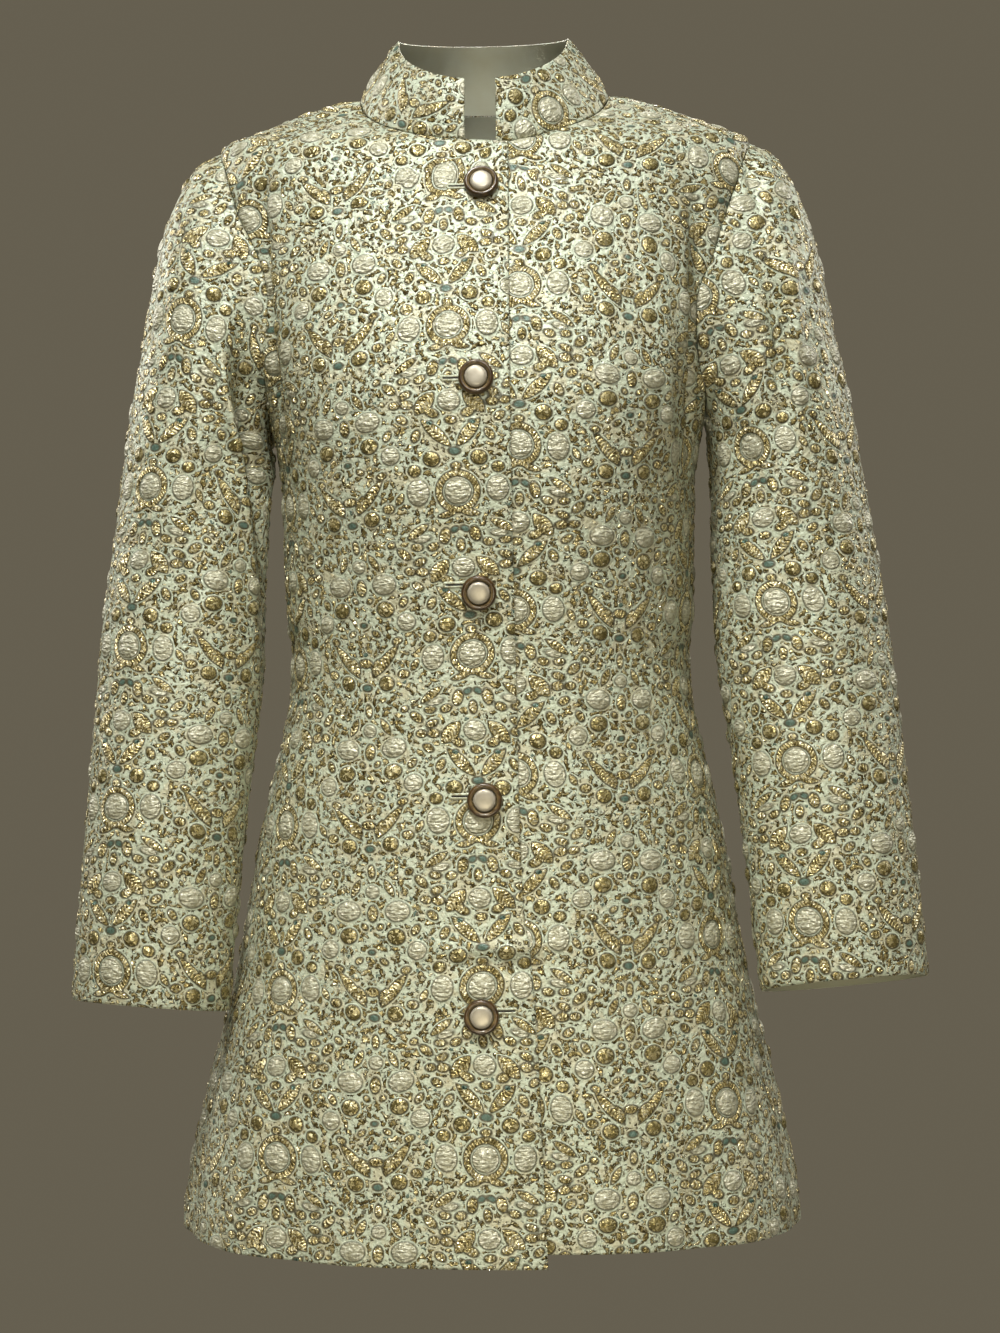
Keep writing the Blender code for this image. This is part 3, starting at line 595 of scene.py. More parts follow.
def collar_grid():
    edge = neckline(over, under, back, 0)
    normal = unit(neckline(over_out, under_out, back_out, 0))
    gone = lengths_along(edge, 0)
    end = math.asin(COLLAR_HALF_GAP / COLLAR_TOP_HALF_WIDTH)
    turn = end + (2 * math.pi - 2 * end) * gone / gone[-1]
    ahead = np.cos(turn)
    x = -COLLAR_TOP_HALF_WIDTH * np.sin(turn)
    y = -np.where(ahead > 0, COLLAR_TOP_FRONT, COLLAR_TOP_BACK) * ahead
    front_fall = COLLAR_SIDE_TOP_Z - COLLAR_FRONT_TOP_Z
    back_rise = COLLAR_BACK_TOP_Z - COLLAR_SIDE_TOP_Z
    z = COLLAR_SIDE_TOP_Z - np.where(ahead > 0, front_fall, back_rise) * ahead
    top = np.stack([x, y, z], axis=-1)
    foot = seat(edge, normal, neckline(over, under, back, FOOT_INSET), top)
    up = np.linspace(0, 1, COLLAR_ROWS + 1)[:, None, None]
    outward = unit(np.stack([x, y, np.zeros_like(x)], axis=-1))
    return foot + (top - foot) * up + outward * COLLAR_BULGE * np.sin(math.pi * up)


collar = collar_grid()
collar_out = normals_of(collar, body_centres(collar))
print("collar:", collar.shape)

# %% [markdown]
# ## Pressing each piece flat
# The figures are woven before the cloth is cut, so they belong to the flat cut and not to the worn form. A
# planar projection would stretch them at the sides. Each piece is pressed flat instead: its grid is relaxed
# in the plane until every short span has its worn length again, and the result is also its paper pattern.

# %% Press a grid flat
PRESS_ROUNDS = 900
PRESS_STEP = 1.6


def press_flat(worn, lean):
    """Flat places of a grid's points whose spans keep their worn lengths; lean is the first column's side."""
    flat = np.stack([lengths_along(worn, 1), lengths_along(worn, 0)], axis=-1)
    flat[..., 0] += lean * (worn[:, :1, 0] - worn[:1, :1, 0])
    whole, low, high = slice(None), slice(None, -1), slice(1, None)
    pairs = (
        ((whole, low), (whole, high)),
        ((low, whole), (high, whole)),
        ((low, low), (high, high)),
        ((low, high), (high, low)),
    )
    rest = [np.linalg.norm(worn[b] - worn[a], axis=-1) for a, b in pairs]
    count = np.zeros(worn.shape[:2])
    for a, b in pairs:
        count[a] += 1
        count[b] += 1
    for _ in range(PRESS_ROUNDS):
        move = np.zeros_like(flat)
        for (a, b), length in zip(pairs, rest):
            gap = flat[b] - flat[a]
            pull = gap * (0.5 - 0.5 * length / np.linalg.norm(gap, axis=-1))[..., None]
            move[a] += pull
            move[b] -= pull
        flat += PRESS_STEP * move / count[..., None]
    return flat


def fill_between(values):
    """Each eighth point's values spread evenly over the points between."""
    for axis in (0, 1):
        values = np.moveaxis(values, axis, 0)
        at = np.arange((len(values) - 1) * EVERY + 1) / EVERY
        i = np.minimum(at.astype(int), len(values) - 2)
        t = (at - i).reshape(-1, 1, 1)
        values = np.moveaxis(values[i] * (1 - t) + values[i + 1] * t, 0, axis)
    return values


def lay_on_grain(flat, low, high, mirror, origin):
    """The flat cut turned so that the line from one point to another runs up the grain, and moved."""
    run = flat[high] - flat[low]
    angle = math.atan2(run[0], run[1])
    c, s = math.cos(angle), math.sin(angle)
    turned = (flat - flat[low]) @ np.array([[c, s], [-s, c]])
    return turned * np.array([mirror, 1]) + np.array(origin)


def cut_of(worn, lean, low, high, mirror, origin):
    """A piece's flat cut at full count, with its size and area."""
    coarse = press_flat(worn[::EVERY, ::EVERY], lean)
    cut = fill_between(lay_on_grain(coarse, low, high, mirror, origin))
    edges = (worn[1:, 1:] - worn[:-1, :-1], worn[1:, :-1] - worn[:-1, 1:])
    area = np.linalg.norm(np.cross(*edges), axis=-1).sum() / 2
    width, length = cut.reshape(-1, 2).max(axis=0) - cut.reshape(-1, 2).min(axis=0)
    return cut, (float(width), float(length)), float(area)


# %% Lay the cuts on the cloth
grids = {
    "front_right": (over, over_out),
    "front_left": (under, under_out),
    "back": (back, back_out),
    "sleeve_right": (sleeves[-1], sleeves_out[-1]),
    "sleeve_left": (sleeves[1], sleeves_out[1]),
    "collar": (collar, collar_out),
}
FRONT_EDGE_ROW = FRONT_SKIRT_ROWS // EVERY
SLEEVE_GRAIN_ROW = 20
HALF_BACK = HALF_BACK_COLUMNS // EVERY
OUTER_COLUMN = SLEEVE_AROUND // EVERY // 2
NAPE_COLUMN = COLLAR_STEPS // EVERY // 2
COLLAR_TOP_ROW = COLLAR_ROWS // EVERY

# Lean of the first column, two points on one line of the grain, mirror, and the first one's place on the cloth
LAY = {
    "front_right": (-1, (0, 0), (FRONT_EDGE_ROW, 0), -1, (0.1140, 0.0397)),
    "front_left": (1, (0, 0), (FRONT_EDGE_ROW, 0), 1, (-0.1225, 0.0178)),
    "back": (1, (0, HALF_BACK), (FRONT_EDGE_ROW // 2, HALF_BACK), 1, (0.0, 0.0397)),
    "sleeve_right": (0, (0, OUTER_COLUMN), (SLEEVE_GRAIN_ROW, OUTER_COLUMN), -1, (-0.1310, 0.0946)),
    "sleeve_left": (0, (0, OUTER_COLUMN), (SLEEVE_GRAIN_ROW, OUTER_COLUMN), 1, (0.0360, 0.0726)),
    "collar": (0, (0, NAPE_COLUMN), (COLLAR_TOP_ROW, NAPE_COLUMN), 1, (0.036, -0.020)),
}
cuts = {name: cut_of(grids[name][0], *lay) for name, lay in LAY.items()}
for name, (cut, size, area) in cuts.items():
    print(name, "flat", [round(v, 3) for v in size], "area", round(area, 4))

# %% [markdown]
# ## The woven figures
# The brocade repeats a chart of blistered figures: a feathered spray between pearls, and a rosette over a row
# of three pearls, mirrored about both columns. An image texture would be quicker but couldn't be raised. Each
# figure is a row of a table, and its depth at every point of the cut gives both the relief and the colours.

# %% The chart
REPEAT_WIDTH = 149.0
REPEAT_HEIGHT = 114.4
OUTSIDE = -6.0
DEEPEST = 9.0
GROOVE = 0.35
GROOVE_WIDTH = 0.9
WEAVE_DRIFT = 0.9
ACROSS_WAVES = (17.0, 41.0)
UP_WAVES = (19.0, 37.0)
RIB_SLANT = 0.7

# By column and kind, in millimetres: across from the middle of the column, up from the row of three pearls,
# length, width, turn in degrees, height
CHART = {
    ("spray", "leaf"): (
        (15, -0.5, 31, 7, 50, 1.2), (7.5, -4, 13, 4, 62, 0.8), (12, -46.5, 14, 5, -62, 0.9),
        (36, -4, 10, 4.6, 60, 0.8),
    ),
    ("spray", "bud"): (
        (0, -2, 10, 6, 0, 0.9), (28, -10, 8, 6, 0, 1), (0, -35, 9, 5, 90, 0.8), (0, -64, 11, 7, 90, 1.1),
        (5.5, -73, 5, 3.8, 40, 0.6), (9, -96, 6, 4, -30, 0.7), (24, -101, 7, 4.6, 20, 0.7),
        (27, -35, 6, 4.4, 30, 0.7), (30, -74, 8, 5, 55, 0.8),
    ),
    ("spray", "dome"): (
        (15.3, -16, 11, 10, 12, 1.9), (16.8, -79, 12, 10.5, 0, 2),
    ),
    ("spray", "spot"): (
        (0, -19, 7, 4.6, 0, 0.5), (0, -90, 5, 3.4, 0, 0.4),
    ),
    ("spray", "pearl"): (
        (0, -49, 9.5, 9, 0, 1.2), (17.5, -62, 17, 13.5, 10, 1.8), (31, -88, 12.5, 12, 0, 1.5),
    ),
    ("rose", "leaf"): (
        (8, -15.5, 14, 4.2, 12, 0.8), (28, -26.5, 20, 5.6, 34, 1), (16.5, -54, 21, 10, 46, 1.3),
        (11, -74.5, 27, 8, -46, 1.3),
    ),
    ("rose", "bud"): (
        (10, -30, 11, 7, 75, 1.1), (29.5, -37, 8, 5, 0, 0.9), (18.5, -37, 8, 5.5, 20, 0.9),
        (39.5, -41.5, 10, 6, -40, 0.9), (0, -37, 9, 5.6, 90, 0.9), (37, -53.5, 7.5, 5.4, 0, 0.9),
        (28.5, -54, 8.5, 6, 0, 0.9), (29, -47, 9, 5, 20, 0.8), (33, -64, 8, 5.4, -35, 0.8),
        (12, -61, 9, 6, -20, 0.9), (0, -66, 8, 5.4, 0, 0.9), (25, -76, 9, 5.6, 60, 0.8), (0, -97, 7, 5, 0, 0.8),
    ),
    ("rose", "ring"): (
        (0, 0, 25, 4.2, 0, 0.8),
    ),
    ("rose", "dome"): (
        (16, -92, 11, 10, 0, 1.9), (28, -99.5, 8.5, 7.6, 0, 1.3),
    ),
    ("rose", "spot"): (
        (3.5, -26, 6, 4, 30, 0.4), (14.5, -67.5, 5, 3.4, 0, 0.4), (0, -87, 8, 5, 0, 0.4),
    ),
    ("rose", "pearl"): (
        (0, 0, 17.5, 17.5, 0, 1.7), (26.2, 0, 17.5, 14.5, 90, 1.7), (25.5, -31.5, 12, 5, 12, 1),
        (0, -53, 15, 13.5, 0, 1.7),
    ),
}
FIELD_OF = {"pearl": "pearl", "dome": "dome", "leaf": "gold", "bud": "gold", "ring": "gold", "spot": "teal"}
print("figures in half a repeat:", sum(len(figures) for figures in CHART.values()))

# %% Depths in the figures


def depth_in(kind, x, y, length, width):
    """How deep a point lies inside a figure, in millimetres, below zero outside it."""
    a, b = length / 2, width / 2
    if kind == "leaf":
        return b * (1 - (x / a) ** 2) - np.abs(y)
    if kind == "ring":
        return b - np.abs(np.hypot(x, y) - a)
    return (1 - np.hypot(x / a, y / b)) * b


def woven_figures(cut):
    """Depths in the four kinds of figure, a place along each gold figure, and the relief in metres."""
    u = cut[..., 0] * 1000
    v = cut[..., 1] * 1000
    across = u + WEAVE_DRIFT * np.sin(v / ACROSS_WAVES[0] + u / ACROSS_WAVES[1])
    up = v + WEAVE_DRIFT * np.sin(u / UP_WAVES[0] - v / UP_WAVES[1])
    across = np.abs((across + REPEAT_WIDTH / 2) % REPEAT_WIDTH - REPEAT_WIDTH / 2)
    fields = {name: np.full(u.shape, OUTSIDE) for name in ("pearl", "dome", "gold", "teal")}
    along, rise, groove = (np.zeros(u.shape) for _ in range(3))
    for (column, kind), figures in CHART.items():
        field = fields[FIELD_OF[kind]]
        for from_middle, at_up, length, width, turn, height in figures:
            x = across - (from_middle if column == "spray" else REPEAT_WIDTH / 2 - from_middle)
            y = (up - at_up + REPEAT_HEIGHT / 2) % REPEAT_HEIGHT - REPEAT_HEIGHT / 2
            c, s = math.cos(math.radians(turn)), math.sin(math.radians(turn))
            x, y = c * x + s * y, c * y - s * x
            depth = depth_in(kind, x, y, length, width)
            if FIELD_OF[kind] == "gold":
                along = np.where(depth > field, x + RIB_SLANT * np.abs(y), along)
            np.maximum(field, depth, out=field)
            share = np.clip(depth / (width / 2), 0, 1)
            rise = np.maximum(rise, height * np.sqrt(1 - (1 - share) ** 2))
            groove = np.maximum(groove, np.where(depth < 0, np.exp(-(depth / GROOVE_WIDTH) ** 2), 0))
    fields = {name: np.clip(field, OUTSIDE, DEEPEST) for name, field in fields.items()}
    relief = (rise - GROOVE * groove * (rise == 0)) / 1000
    return {**fields, "along": along}, relief


# %% [markdown]
# ## From grids to cloth
# A cloth piece is a closed shell: its figured right side, its plain reverse a wall's thickness in, and the
# turned edges between them. The right side is one fine grid and the reverse a coarse one, and bridging their
# rims closes the shell. Near seams and edges the cloth rolls inwards, which draws the seam lines.

# %% The two sides of the cloth
ROLL_DEPTH = 0.0006
ROLL_WIDTH = 0.0034
FLAT_AT_SEAM = 0.0030
FIGURE_NAMES = ("pearl", "dome", "gold", "teal", "along")


def distance_to_edges(points, around):
    """Distance of each point from the piece's nearest edge, along the rows and columns."""
    up = lengths_along(points, 0)
    least = np.minimum(up, up[-1:] - up)
    if around:
        return least
    across = lengths_along(points, 1)
    return np.minimum(least, np.minimum(across, across[:, -1:] - across))


def raise_figures(points, out, relief, around, cover=1.0):
    """The right side of the cloth, raised by its figures and rolled in at its edges."""
    near = distance_to_edges(points, around)
    roll = ROLL_DEPTH * np.exp(-(near / ROLL_WIDTH) ** 2)
    return points + out * (relief * ease(near / FLAT_AT_SEAM) * cover - roll)[..., None]


def cloth_layer(bm, points, around, marks, values):
    """One side of the cloth as a grid laid on its points; a tube's two ends of each row are welded."""
    rows, columns = points.shape[0] - 1, points.shape[1] - 1
    made = bmesh.ops.create_grid(bm, x_segments=columns, y_segments=rows, size=1)["verts"]
    for vert, place in zip(made, points.reshape(-1, 3).tolist()):
        vert.co = place
    for mark, value in zip(marks, values):
        for vert, number in zip(made, value.ravel().tolist()):
            vert[mark] = number
    if around:
        starts, ends = made[::columns + 1], made[columns::columns + 1]
        bmesh.ops.weld_verts(bm, targetmap=dict(zip(ends, starts)))


def rim_loops(bm, around):
    """The open edges of the shell, in groups that each close one gap."""
    rim = [edge for edge in bm.edges if edge.is_boundary]
    if not around:
        return [rim]
    middle = sum(edge.verts[0].co.z for edge in rim) / len(rim)
    return [[e for e in rim if e.verts[0].co.z < middle], [e for e in rim if e.verts[0].co.z >= middle]]


# %% Write the cut on the cloth


def write_cut_map(mesh, around_span):
    """The flat cut as a UV map in metres; corners across a tube's seam are moved on by its span."""
    corners = np.empty(len(mesh.loops), dtype=np.int64)
    mesh.loops.foreach_get("vertex_index", corners)
    cut = []
    for name in ("cut_u", "cut_v"):
        values = np.empty(len(mesh.vertices), dtype=np.float32)
        mesh.attributes[name].data.foreach_get("value", values)
        cut.append(values[corners])
        mesh.attributes.remove(mesh.attributes[name])
    starts = np.empty(len(mesh.polygons), dtype=np.int64)
    mesh.polygons.foreach_get("loop_start", starts)
    if around_span is not None:
        totals = np.diff(np.append(starts, len(corners)))
        furthest = np.repeat(np.maximum.reduceat(cut[0] * np.sign(around_span), starts), totals)
        behind = furthest - cut[0] * np.sign(around_span) > abs(around_span) / 2
        cut[0] = cut[0] + around_span * behind
    layer = mesh.uv_layers.new(name="cut")
    layer.data.foreach_set("uv", np.stack(cut, axis=-1).astype(np.float32).ravel())


def to_object(bm, name):
    """A finished bmesh as a smooth object of the scene, with its place in its mesh."""
    mesh = bpy.data.meshes.new(name)
    bm.to_mesh(mesh)
    bm.free()
    mesh.shade_smooth()
    piece = bpy.data.objects.new(name, mesh)
    bpy.context.scene.collection.objects.link(piece)
    return piece


# %% Make a cloth shell


def cloth_piece(name, points, out, cover=1.0, around=False):
    """A cloth piece: figured right side, plain reverse, and the rolled edges between."""
    cut = cuts[name][0]
    fields, relief = woven_figures(cut)
    right_side = raise_figures(points, out, relief, around, cover)
    reverse = (points - out * WALL)[::REVERSE_EVERY, ::REVERSE_EVERY]
    bm = bmesh.new()
    marks = [bm.verts.layers.float.new(key) for key in (*FIGURE_NAMES, "cut_u", "cut_v")]
    values = [*(fields[key] for key in FIGURE_NAMES), cut[..., 0], cut[..., 1]]
    cloth_layer(bm, right_side, around, marks, values)
    figured = len(bm.faces)
    cloth_layer(bm, reverse, around, marks, [value[::REVERSE_EVERY, ::REVERSE_EVERY] for value in values])
    bm.faces.ensure_lookup_table()
    for face in bm.faces[figured:]:
        face.material_index = 1
        for edge in face.edges:
            edge.smooth = not edge.is_boundary
    for rim in rim_loops(bm, around):
        bmesh.ops.bridge_loops(bm, edges=rim)
    bmesh.ops.recalc_face_normals(bm, faces=bm.faces)
    piece = to_object(bm, f"{name}_cloth")
    span = float(np.median(cut[:, -1, 0] - cut[:, 0, 0])) if around else None
    write_cut_map(piece.data, span)
    triangles = sum(len(p.vertices) - 2 for p in piece.data.polygons)
    print(piece.name, "triangles:", triangles, "raised up to", round(relief.max() * 1000, 2), "mm")
    return piece


# %% [markdown]
# ## Shader sums in plain expressions
# A finish is worked out from many small sums. Wiring each by hand hides the sense of it, so one small class
# wraps a socket: arithmetic on it adds Math nodes, and one method adds any other node.

# %% A socket that can be reckoned with


class Socket:
    """A shader socket; arithmetic on it adds Math nodes to its tree."""

    def __init__(self, tree, output=None):
        self.tree = tree
        self.output = output

    def node(self, kind, settings, sockets, out=0):
        """Another node, with its settings made first and then its sockets' values or links."""
        made = self.tree.nodes.new(kind)
        for name, value in settings.items():
            if name == "stops":
                fill_ramp(made.color_ramp, value)
            else:
                setattr(made, name, value)
        for name, value in sockets.items():
            if isinstance(value, Socket):
                self.tree.links.new(value.output, made.inputs[name])
            else:
                made.inputs[name].default_value = value
        return Socket(self.tree, made.outputs[out])

    def sum(self, operation, first, second):
        return self.node("ShaderNodeMath", {"operation": operation}, {0: first, 1: second})

    def __add__(self, other):
        return self.sum("ADD", self, other)

    def __sub__(self, other):
        return self.sum("SUBTRACT", self, other)

    def __rsub__(self, other):
        return self.sum("SUBTRACT", other, self)

    def __mul__(self, other):
        return self.sum("MULTIPLY", self, other)

    __radd__ = __add__
    __rmul__ = __mul__

    def most(self, other):
        return self.sum("MAXIMUM", self, other)

    def above(self, edge, soft):
        """0 below an edge and 1 above it, eased over a soft width on each side."""
        sockets = {"Value": self, "From Min": edge - soft, "From Max": edge + soft}
        return self.node("ShaderNodeMapRange", {"interpolation_type": "SMOOTHSTEP"}, sockets)

    def tint(self, under, over):
        """One colour over another, where this socket is 1."""
        settings = {"data_type": "RGBA"}
        return self.node("ShaderNodeMix", settings, {0: self, 6: colour(under), 7: colour(over)}, 2)

    def ramp(self, stops):
        return self.node("ShaderNodeValToRGB", {"stops": stops}, {"Fac": self})

    def part(self, index):
        return self.node("ShaderNodeSeparateColor", {}, {"Color": self}, index)

    def vector(self, operation, second=(0, 0, 0), third=(0, 0, 0)):
        """A sum on vectors, with this one first."""
        return self.node("ShaderNodeVectorMath", {"operation": operation}, {0: self, 1: second, 2: third})

    def cloud(self, scale, detail):
        """A soft cloud in the piece's own space."""
        return self.node("ShaderNodeTexCoord", {}, {}, "Object").noise(scale, detail, dimensions="3D")

    def noise(self, scale, detail, out=0, dimensions="2D"):
        """A noise at the places that this socket holds, about 0.5 in the middle."""
        sockets = {"Vector": self, "Scale": scale, "Detail": detail}
        return self.node("ShaderNodeTexNoise", {"noise_dimensions": dimensions}, sockets, out)

    def cells(self, size):
        """Distance to the nearest cell's middle, in cells, the cell's random colour, and its middle."""
        sockets = {"Vector": self, "Scale": 1 / size}
        far = self.node("ShaderNodeTexVoronoi", {"voronoi_dimensions": "2D"}, sockets, "Distance")
        outputs = far.output.node.outputs
        return [Socket(self.tree, outputs[name]) for name in ("Distance", "Color", "Position")]

    def stored(self, name):
        """A value that is stored on the mesh."""
        return self.node("ShaderNodeAttribute", {"attribute_name": name}, {}, "Fac")


# %% Colours, ramps and new finishes


def colour(value):
    """A colour for a socket: three numbers get an alpha of 1."""
    return value if isinstance(value, Socket) else (*value, 1)


def fill_ramp(ramp, stops):
    """A ramp's stops, from pairs of place and colour."""
    while len(ramp.elements) < len(stops):
        ramp.elements.new(1)
    for element, (place, shade) in zip(ramp.elements, stops):
        element.position = place
        element.color = (*shade, 1)


def new_finish(name, **constants):
    """A material with its Principled shader's constant sockets set, and a socket to start its sums."""
    material = bpy.data.materials.new(name)
    material.use_nodes = True
    shader = material.node_tree.nodes["Principled BSDF"]
    for key, value in constants.items():
        shader.inputs[key.replace("_", " ")].default_value = value
    return material, shader, Socket(material.node_tree)


def join(sums, shader, **links):
    """Sums linked to the shader's sockets."""
    for key, value in links.items():
        sums.tree.links.new(value.output, shader.inputs[key.replace("_", " ")])


# %% [markdown]
# ## The brocade's finish
# The cloth is a pale mint ground with thin metal threads floated over it in gold and silver. Close to, each
# float catches the light at its own angle, so the gold is a crowd of small facets. The large figures come from
# the depths stored on the cloth; the seed-like grains between them are cells of a Voronoi pattern.

# %% Colours and grain of the brocade
MINT = (0.50, 0.555, 0.432)
CREAM = (0.50, 0.490, 0.345)
OLIVE = (0.17, 0.140, 0.050)
TEAL = (0.085, 0.140, 0.110)
# Dark olive thread of the seeds and outlines; round the raised figures it is also painted shade
DARK_THREAD_AND_SHADE = (0.052, 0.042, 0.017)
PEARL = (0.51, 0.510, 0.395)
PEARL_SHADE = (0.335, 0.325, 0.222)
GLINT = (0.98, 0.95, 0.80)
# Gold of the floats from dark to pale; the palest stops are painted glints
GOLD_AND_GLINT_STOPS = (
    (0.0, (0.080, 0.058, 0.017)),
    (0.30, (0.25, 0.192, 0.066)),
    (0.55, (0.52, 0.437, 0.200)),
    (0.80, (0.84, 0.765, 0.475)),
    (1.0, (1.0, 0.96, 0.75)),
)
LEAFLET_CELL = 0.0056
LEAFLET_HALF_LENGTH = 0.0034
LEAFLET_HALF_WIDTH = 0.00142
SEED_CELL = 0.0035
FACET_CELL = 0.0015
WANDER_SCALE = 360.0
WANDER_REACH = 0.0042
PATCH_SCALE = 80.0
SILK_SCALE = (230, 480, 1)
RIB_RATE = 2.4
FULL_TURN = 6.3
MIDDLE = (0.5, 0.5, 0.5)
FLOAT_HEIGHT = 0.0018
print("gold stops:", len(GOLD_AND_GLINT_STOPS))

# %% The right side of the brocade


def brocade():
    """The right side: blistered figures, gold leaflets and small seeds on a ground of mint and cream."""
    material, shader, sums = new_finish("brocade", Specular_IOR_Level=0.5)
    cut = sums.node("ShaderNodeUVMap", {"uv_map": "cut"}, {})
    depth = {name: sums.stored(name) for name in FIGURE_NAMES}
    nearest = depth["pearl"].most(depth["gold"]).most(depth["dome"]).most(depth["teal"])
    ground = 1 - nearest.above(-0.7, 0.5)
    in_pearl, in_dome, in_gold = (depth[name].above(0.0, 0.2) for name in ("pearl", "dome", "gold"))
    in_teal = depth["teal"].above(0.0, 0.3)

    # Places that wander a little, and the facets of the metal
    wander = cut.noise(WANDER_SCALE, 2.0, "Color")
    patch = cut.noise(PATCH_SCALE, 1.0, "Color")
    place = wander.vector("SUBTRACT", MIDDLE).vector("MULTIPLY_ADD", (WANDER_REACH,) * 3, cut)
    facet_tint = place.cells(FACET_CELL)[1]
    facet = facet_tint.part(0)

    # Leaflets are ovals in cells, each turned and sized at random, and seeds are dots between them
    leaf_tint, leaf_middle = place.cells(LEAFLET_CELL)[1:]
    from_middle = {"Vector": place.vector("SUBTRACT", leaf_middle), "Angle": leaf_tint.part(0) * FULL_TURN}
    turned = sums.node("ShaderNodeVectorRotate", {"rotation_type": "Z_AXIS"}, from_middle)
    shares = turned.vector("MULTIPLY", (1 / LEAFLET_HALF_LENGTH, 1 / LEAFLET_HALF_WIDTH, 0))
    out = sums.node("ShaderNodeVectorMath", {"operation": "LENGTH"}, {0: shares}, "Value")
    leaflet = leaf_tint.part(1) * 0.85 + 0.52 - out - nearest.above(-1.25, 0.6) * 3
    in_leaflet = leaflet.above(0.03, 0.06)
    seed_far, seed_tint, _ = place.cells(SEED_CELL)
    seed = seed_tint.part(1) * 0.40 - 0.01 - seed_far - leaflet.above(-0.42, 0.1) * 2
    seed = seed - nearest.above(-1.1, 0.5) * 2
    in_seed = seed.above(0.0, 0.03)
    teal_seed = in_seed * seed_tint.part(0).above(0.72, 0.01)

    # Colours, laid one over another
    ribs = sums.node("ShaderNodeMath", {"operation": "SINE"}, {0: depth["along"] * RIB_RATE})
    # Each facet takes its own gold from the ramp, so the brightest facets are painted glints
    gold = facet * 0.62 + ribs * in_gold * 0.16 + in_gold * 0.08 + patch.part(0) * 0.4 - 0.03
    gold = gold.ramp(GOLD_AND_GLINT_STOPS)
    silk = sums.node("ShaderNodeMapping", {}, {"Vector": cut, "Scale": SILK_SCALE}).noise(1.0, 1.0)
    base = patch.part(2).above(0.42, 0.10).tint(CREAM, MINT)
    base = (wander.part(1).above(0.60, 0.08) * 0.16).tint(base, OLIVE)
    base = (in_seed * 0.85).tint(base, facet.above(0.6, 0.1).tint(DARK_THREAD_AND_SHADE, gold))
    base = (teal_seed * 0.9).tint(base, TEAL)
    base = in_leaflet.tint(base, gold)
    # Dark rims round the leaflets: partly a woven outline, partly painted shade at their raised edges
    leaflet_outline_and_shade = leaflet.above(-0.16, 0.10) * (1 - leaflet.above(0.14, 0.12))
    base = (leaflet_outline_and_shade * 0.87).tint(base, DARK_THREAD_AND_SHADE)
    base = in_gold.tint(base, gold)
    base = in_teal.tint(base, TEAL)
    base = in_dome.tint(base, (facet * 1.1 - 0.25).tint(OLIVE, gold))
    base = in_pearl.tint(base, silk.above(0.5, 0.2).tint(PEARL_SHADE, PEARL))
    base = (facet.above(0.93, 0.02) * (in_pearl * 0.5 + ground * 0.15)).tint(base, GLINT)
    # Dark rims round the large figures: partly a woven outline, partly painted shade at the foot of each
    # blister
    edge = nearest.above(-0.7, 0.4) * (1 - nearest.above(0.3, 0.3))
    base = (edge * (0.88 - depth["pearl"].above(-0.8, 0.3) * 0.30)).tint(base, DARK_THREAD_AND_SHADE)

    # Heights of the floats, and the tilt of each facet
    metal = in_gold.most(in_leaflet).most(in_dome)
    groove = depth["pearl"].above(1.3, 0.4) * (1 - depth["pearl"].above(2.4, 0.5))
    height = leaflet.above(0.28, 0.36) * 1.7 + seed.above(0.0, 0.1) * 0.6 + wander.part(1) * 0.5
    height = height + facet * metal * 0.25 + ribs * in_gold * 0.15 + silk * in_pearl * 0.9 - groove * 0.12
    tilt = {0: facet_tint.vector("SUBTRACT", MIDDLE), "Scale": metal * 0.95 - in_dome * 0.5 + 0.10}
    tilt = sums.node("ShaderNodeVectorMath", {"operation": "SCALE"}, tilt)
    tilted = sums.node("ShaderNodeNewGeometry", {}, {}, "Normal").vector("ADD", tilt).vector("NORMALIZE")
    sockets = {"Strength": 1.0, "Distance": FLOAT_HEIGHT, "Height": height, "Normal": tilted}
    join(
        sums, shader, Base_Color=base, Metallic=metal * 0.42 + in_pearl * 0.05 + 0.12,
        Roughness=0.42 - metal * 0.20 + facet * 0.10 - in_pearl * 0.08,
        Normal=sums.node("ShaderNodeBump", {}, sockets),
    )
    return material


# %% The reverse of the brocade


def reverse_of_cloth():
    """The plain back of the weave: very fine ribs of mint and dull gold thread."""
    material, shader, sums = new_finish("brocade_reverse", Roughness=0.68)
    cut = sums.node("ShaderNodeUVMap", {"uv_map": "cut"}, {})
    ribs = sums.node("ShaderNodeTexWave", {"bands_direction": "Y"}, {"Vector": cut, "Scale": 420.0}, 1)
    cloud = cut.noise(70.0, 4.0)
    base = (ribs * 0.12 + cloud * 0.6).tint((0.40, 0.42, 0.33), (0.33, 0.30, 0.19))
    bump = sums.node("ShaderNodeBump", {}, {"Strength": 0.3, "Distance": 0.0002, "Height": ribs})
    join(sums, shader, Base_Color=base, Normal=bump)
    return material


brocade_finish = brocade()
reverse_finish = reverse_of_cloth()
print("brocade nodes:", len(brocade_finish.node_tree.nodes))

# %% [markdown]
# ## The cloth pieces
# With grids, cuts and finishes ready, each piece is one call. Under the lap the lower front stays smooth, so
# that its figures don't push into the cloth above it, and the lap is pressed flat round its buttonholes.

# %% Make the cloth pieces
HOLE_HALF_LENGTH = 0.0128
HOLE_SHIFT = 0.0095
HOLE_CLEAR = 0.0028

# Height and distance across of each button, the side on which its buttonhole shows, and how far above the
# middle of the button that lies
BUTTONS = (
    (-0.079, 0.001, -1, -0.0015),
    (-0.2168, -0.0025, -1, 0),
    (-0.361, -0.0027, -1, 0.0055),
    (-0.5014, -0.0005, -1, 0.003),
    (-0.6463, -0.004, 1, 0.004),
)


def clear_of_holes(points):
    """0 at the buttonholes and 1 away from them."""
    cover = np.ones(points.shape[:2])
    for z, x, hole, rise in BUTTONS:
        past = np.maximum(np.abs(points[..., 0] - x - hole * HOLE_SHIFT) - HOLE_HALF_LENGTH, 0)
        cover *= ease(np.hypot(past, points[..., 2] - z - rise) / HOLE_CLEAR - 0.5)
    return cover


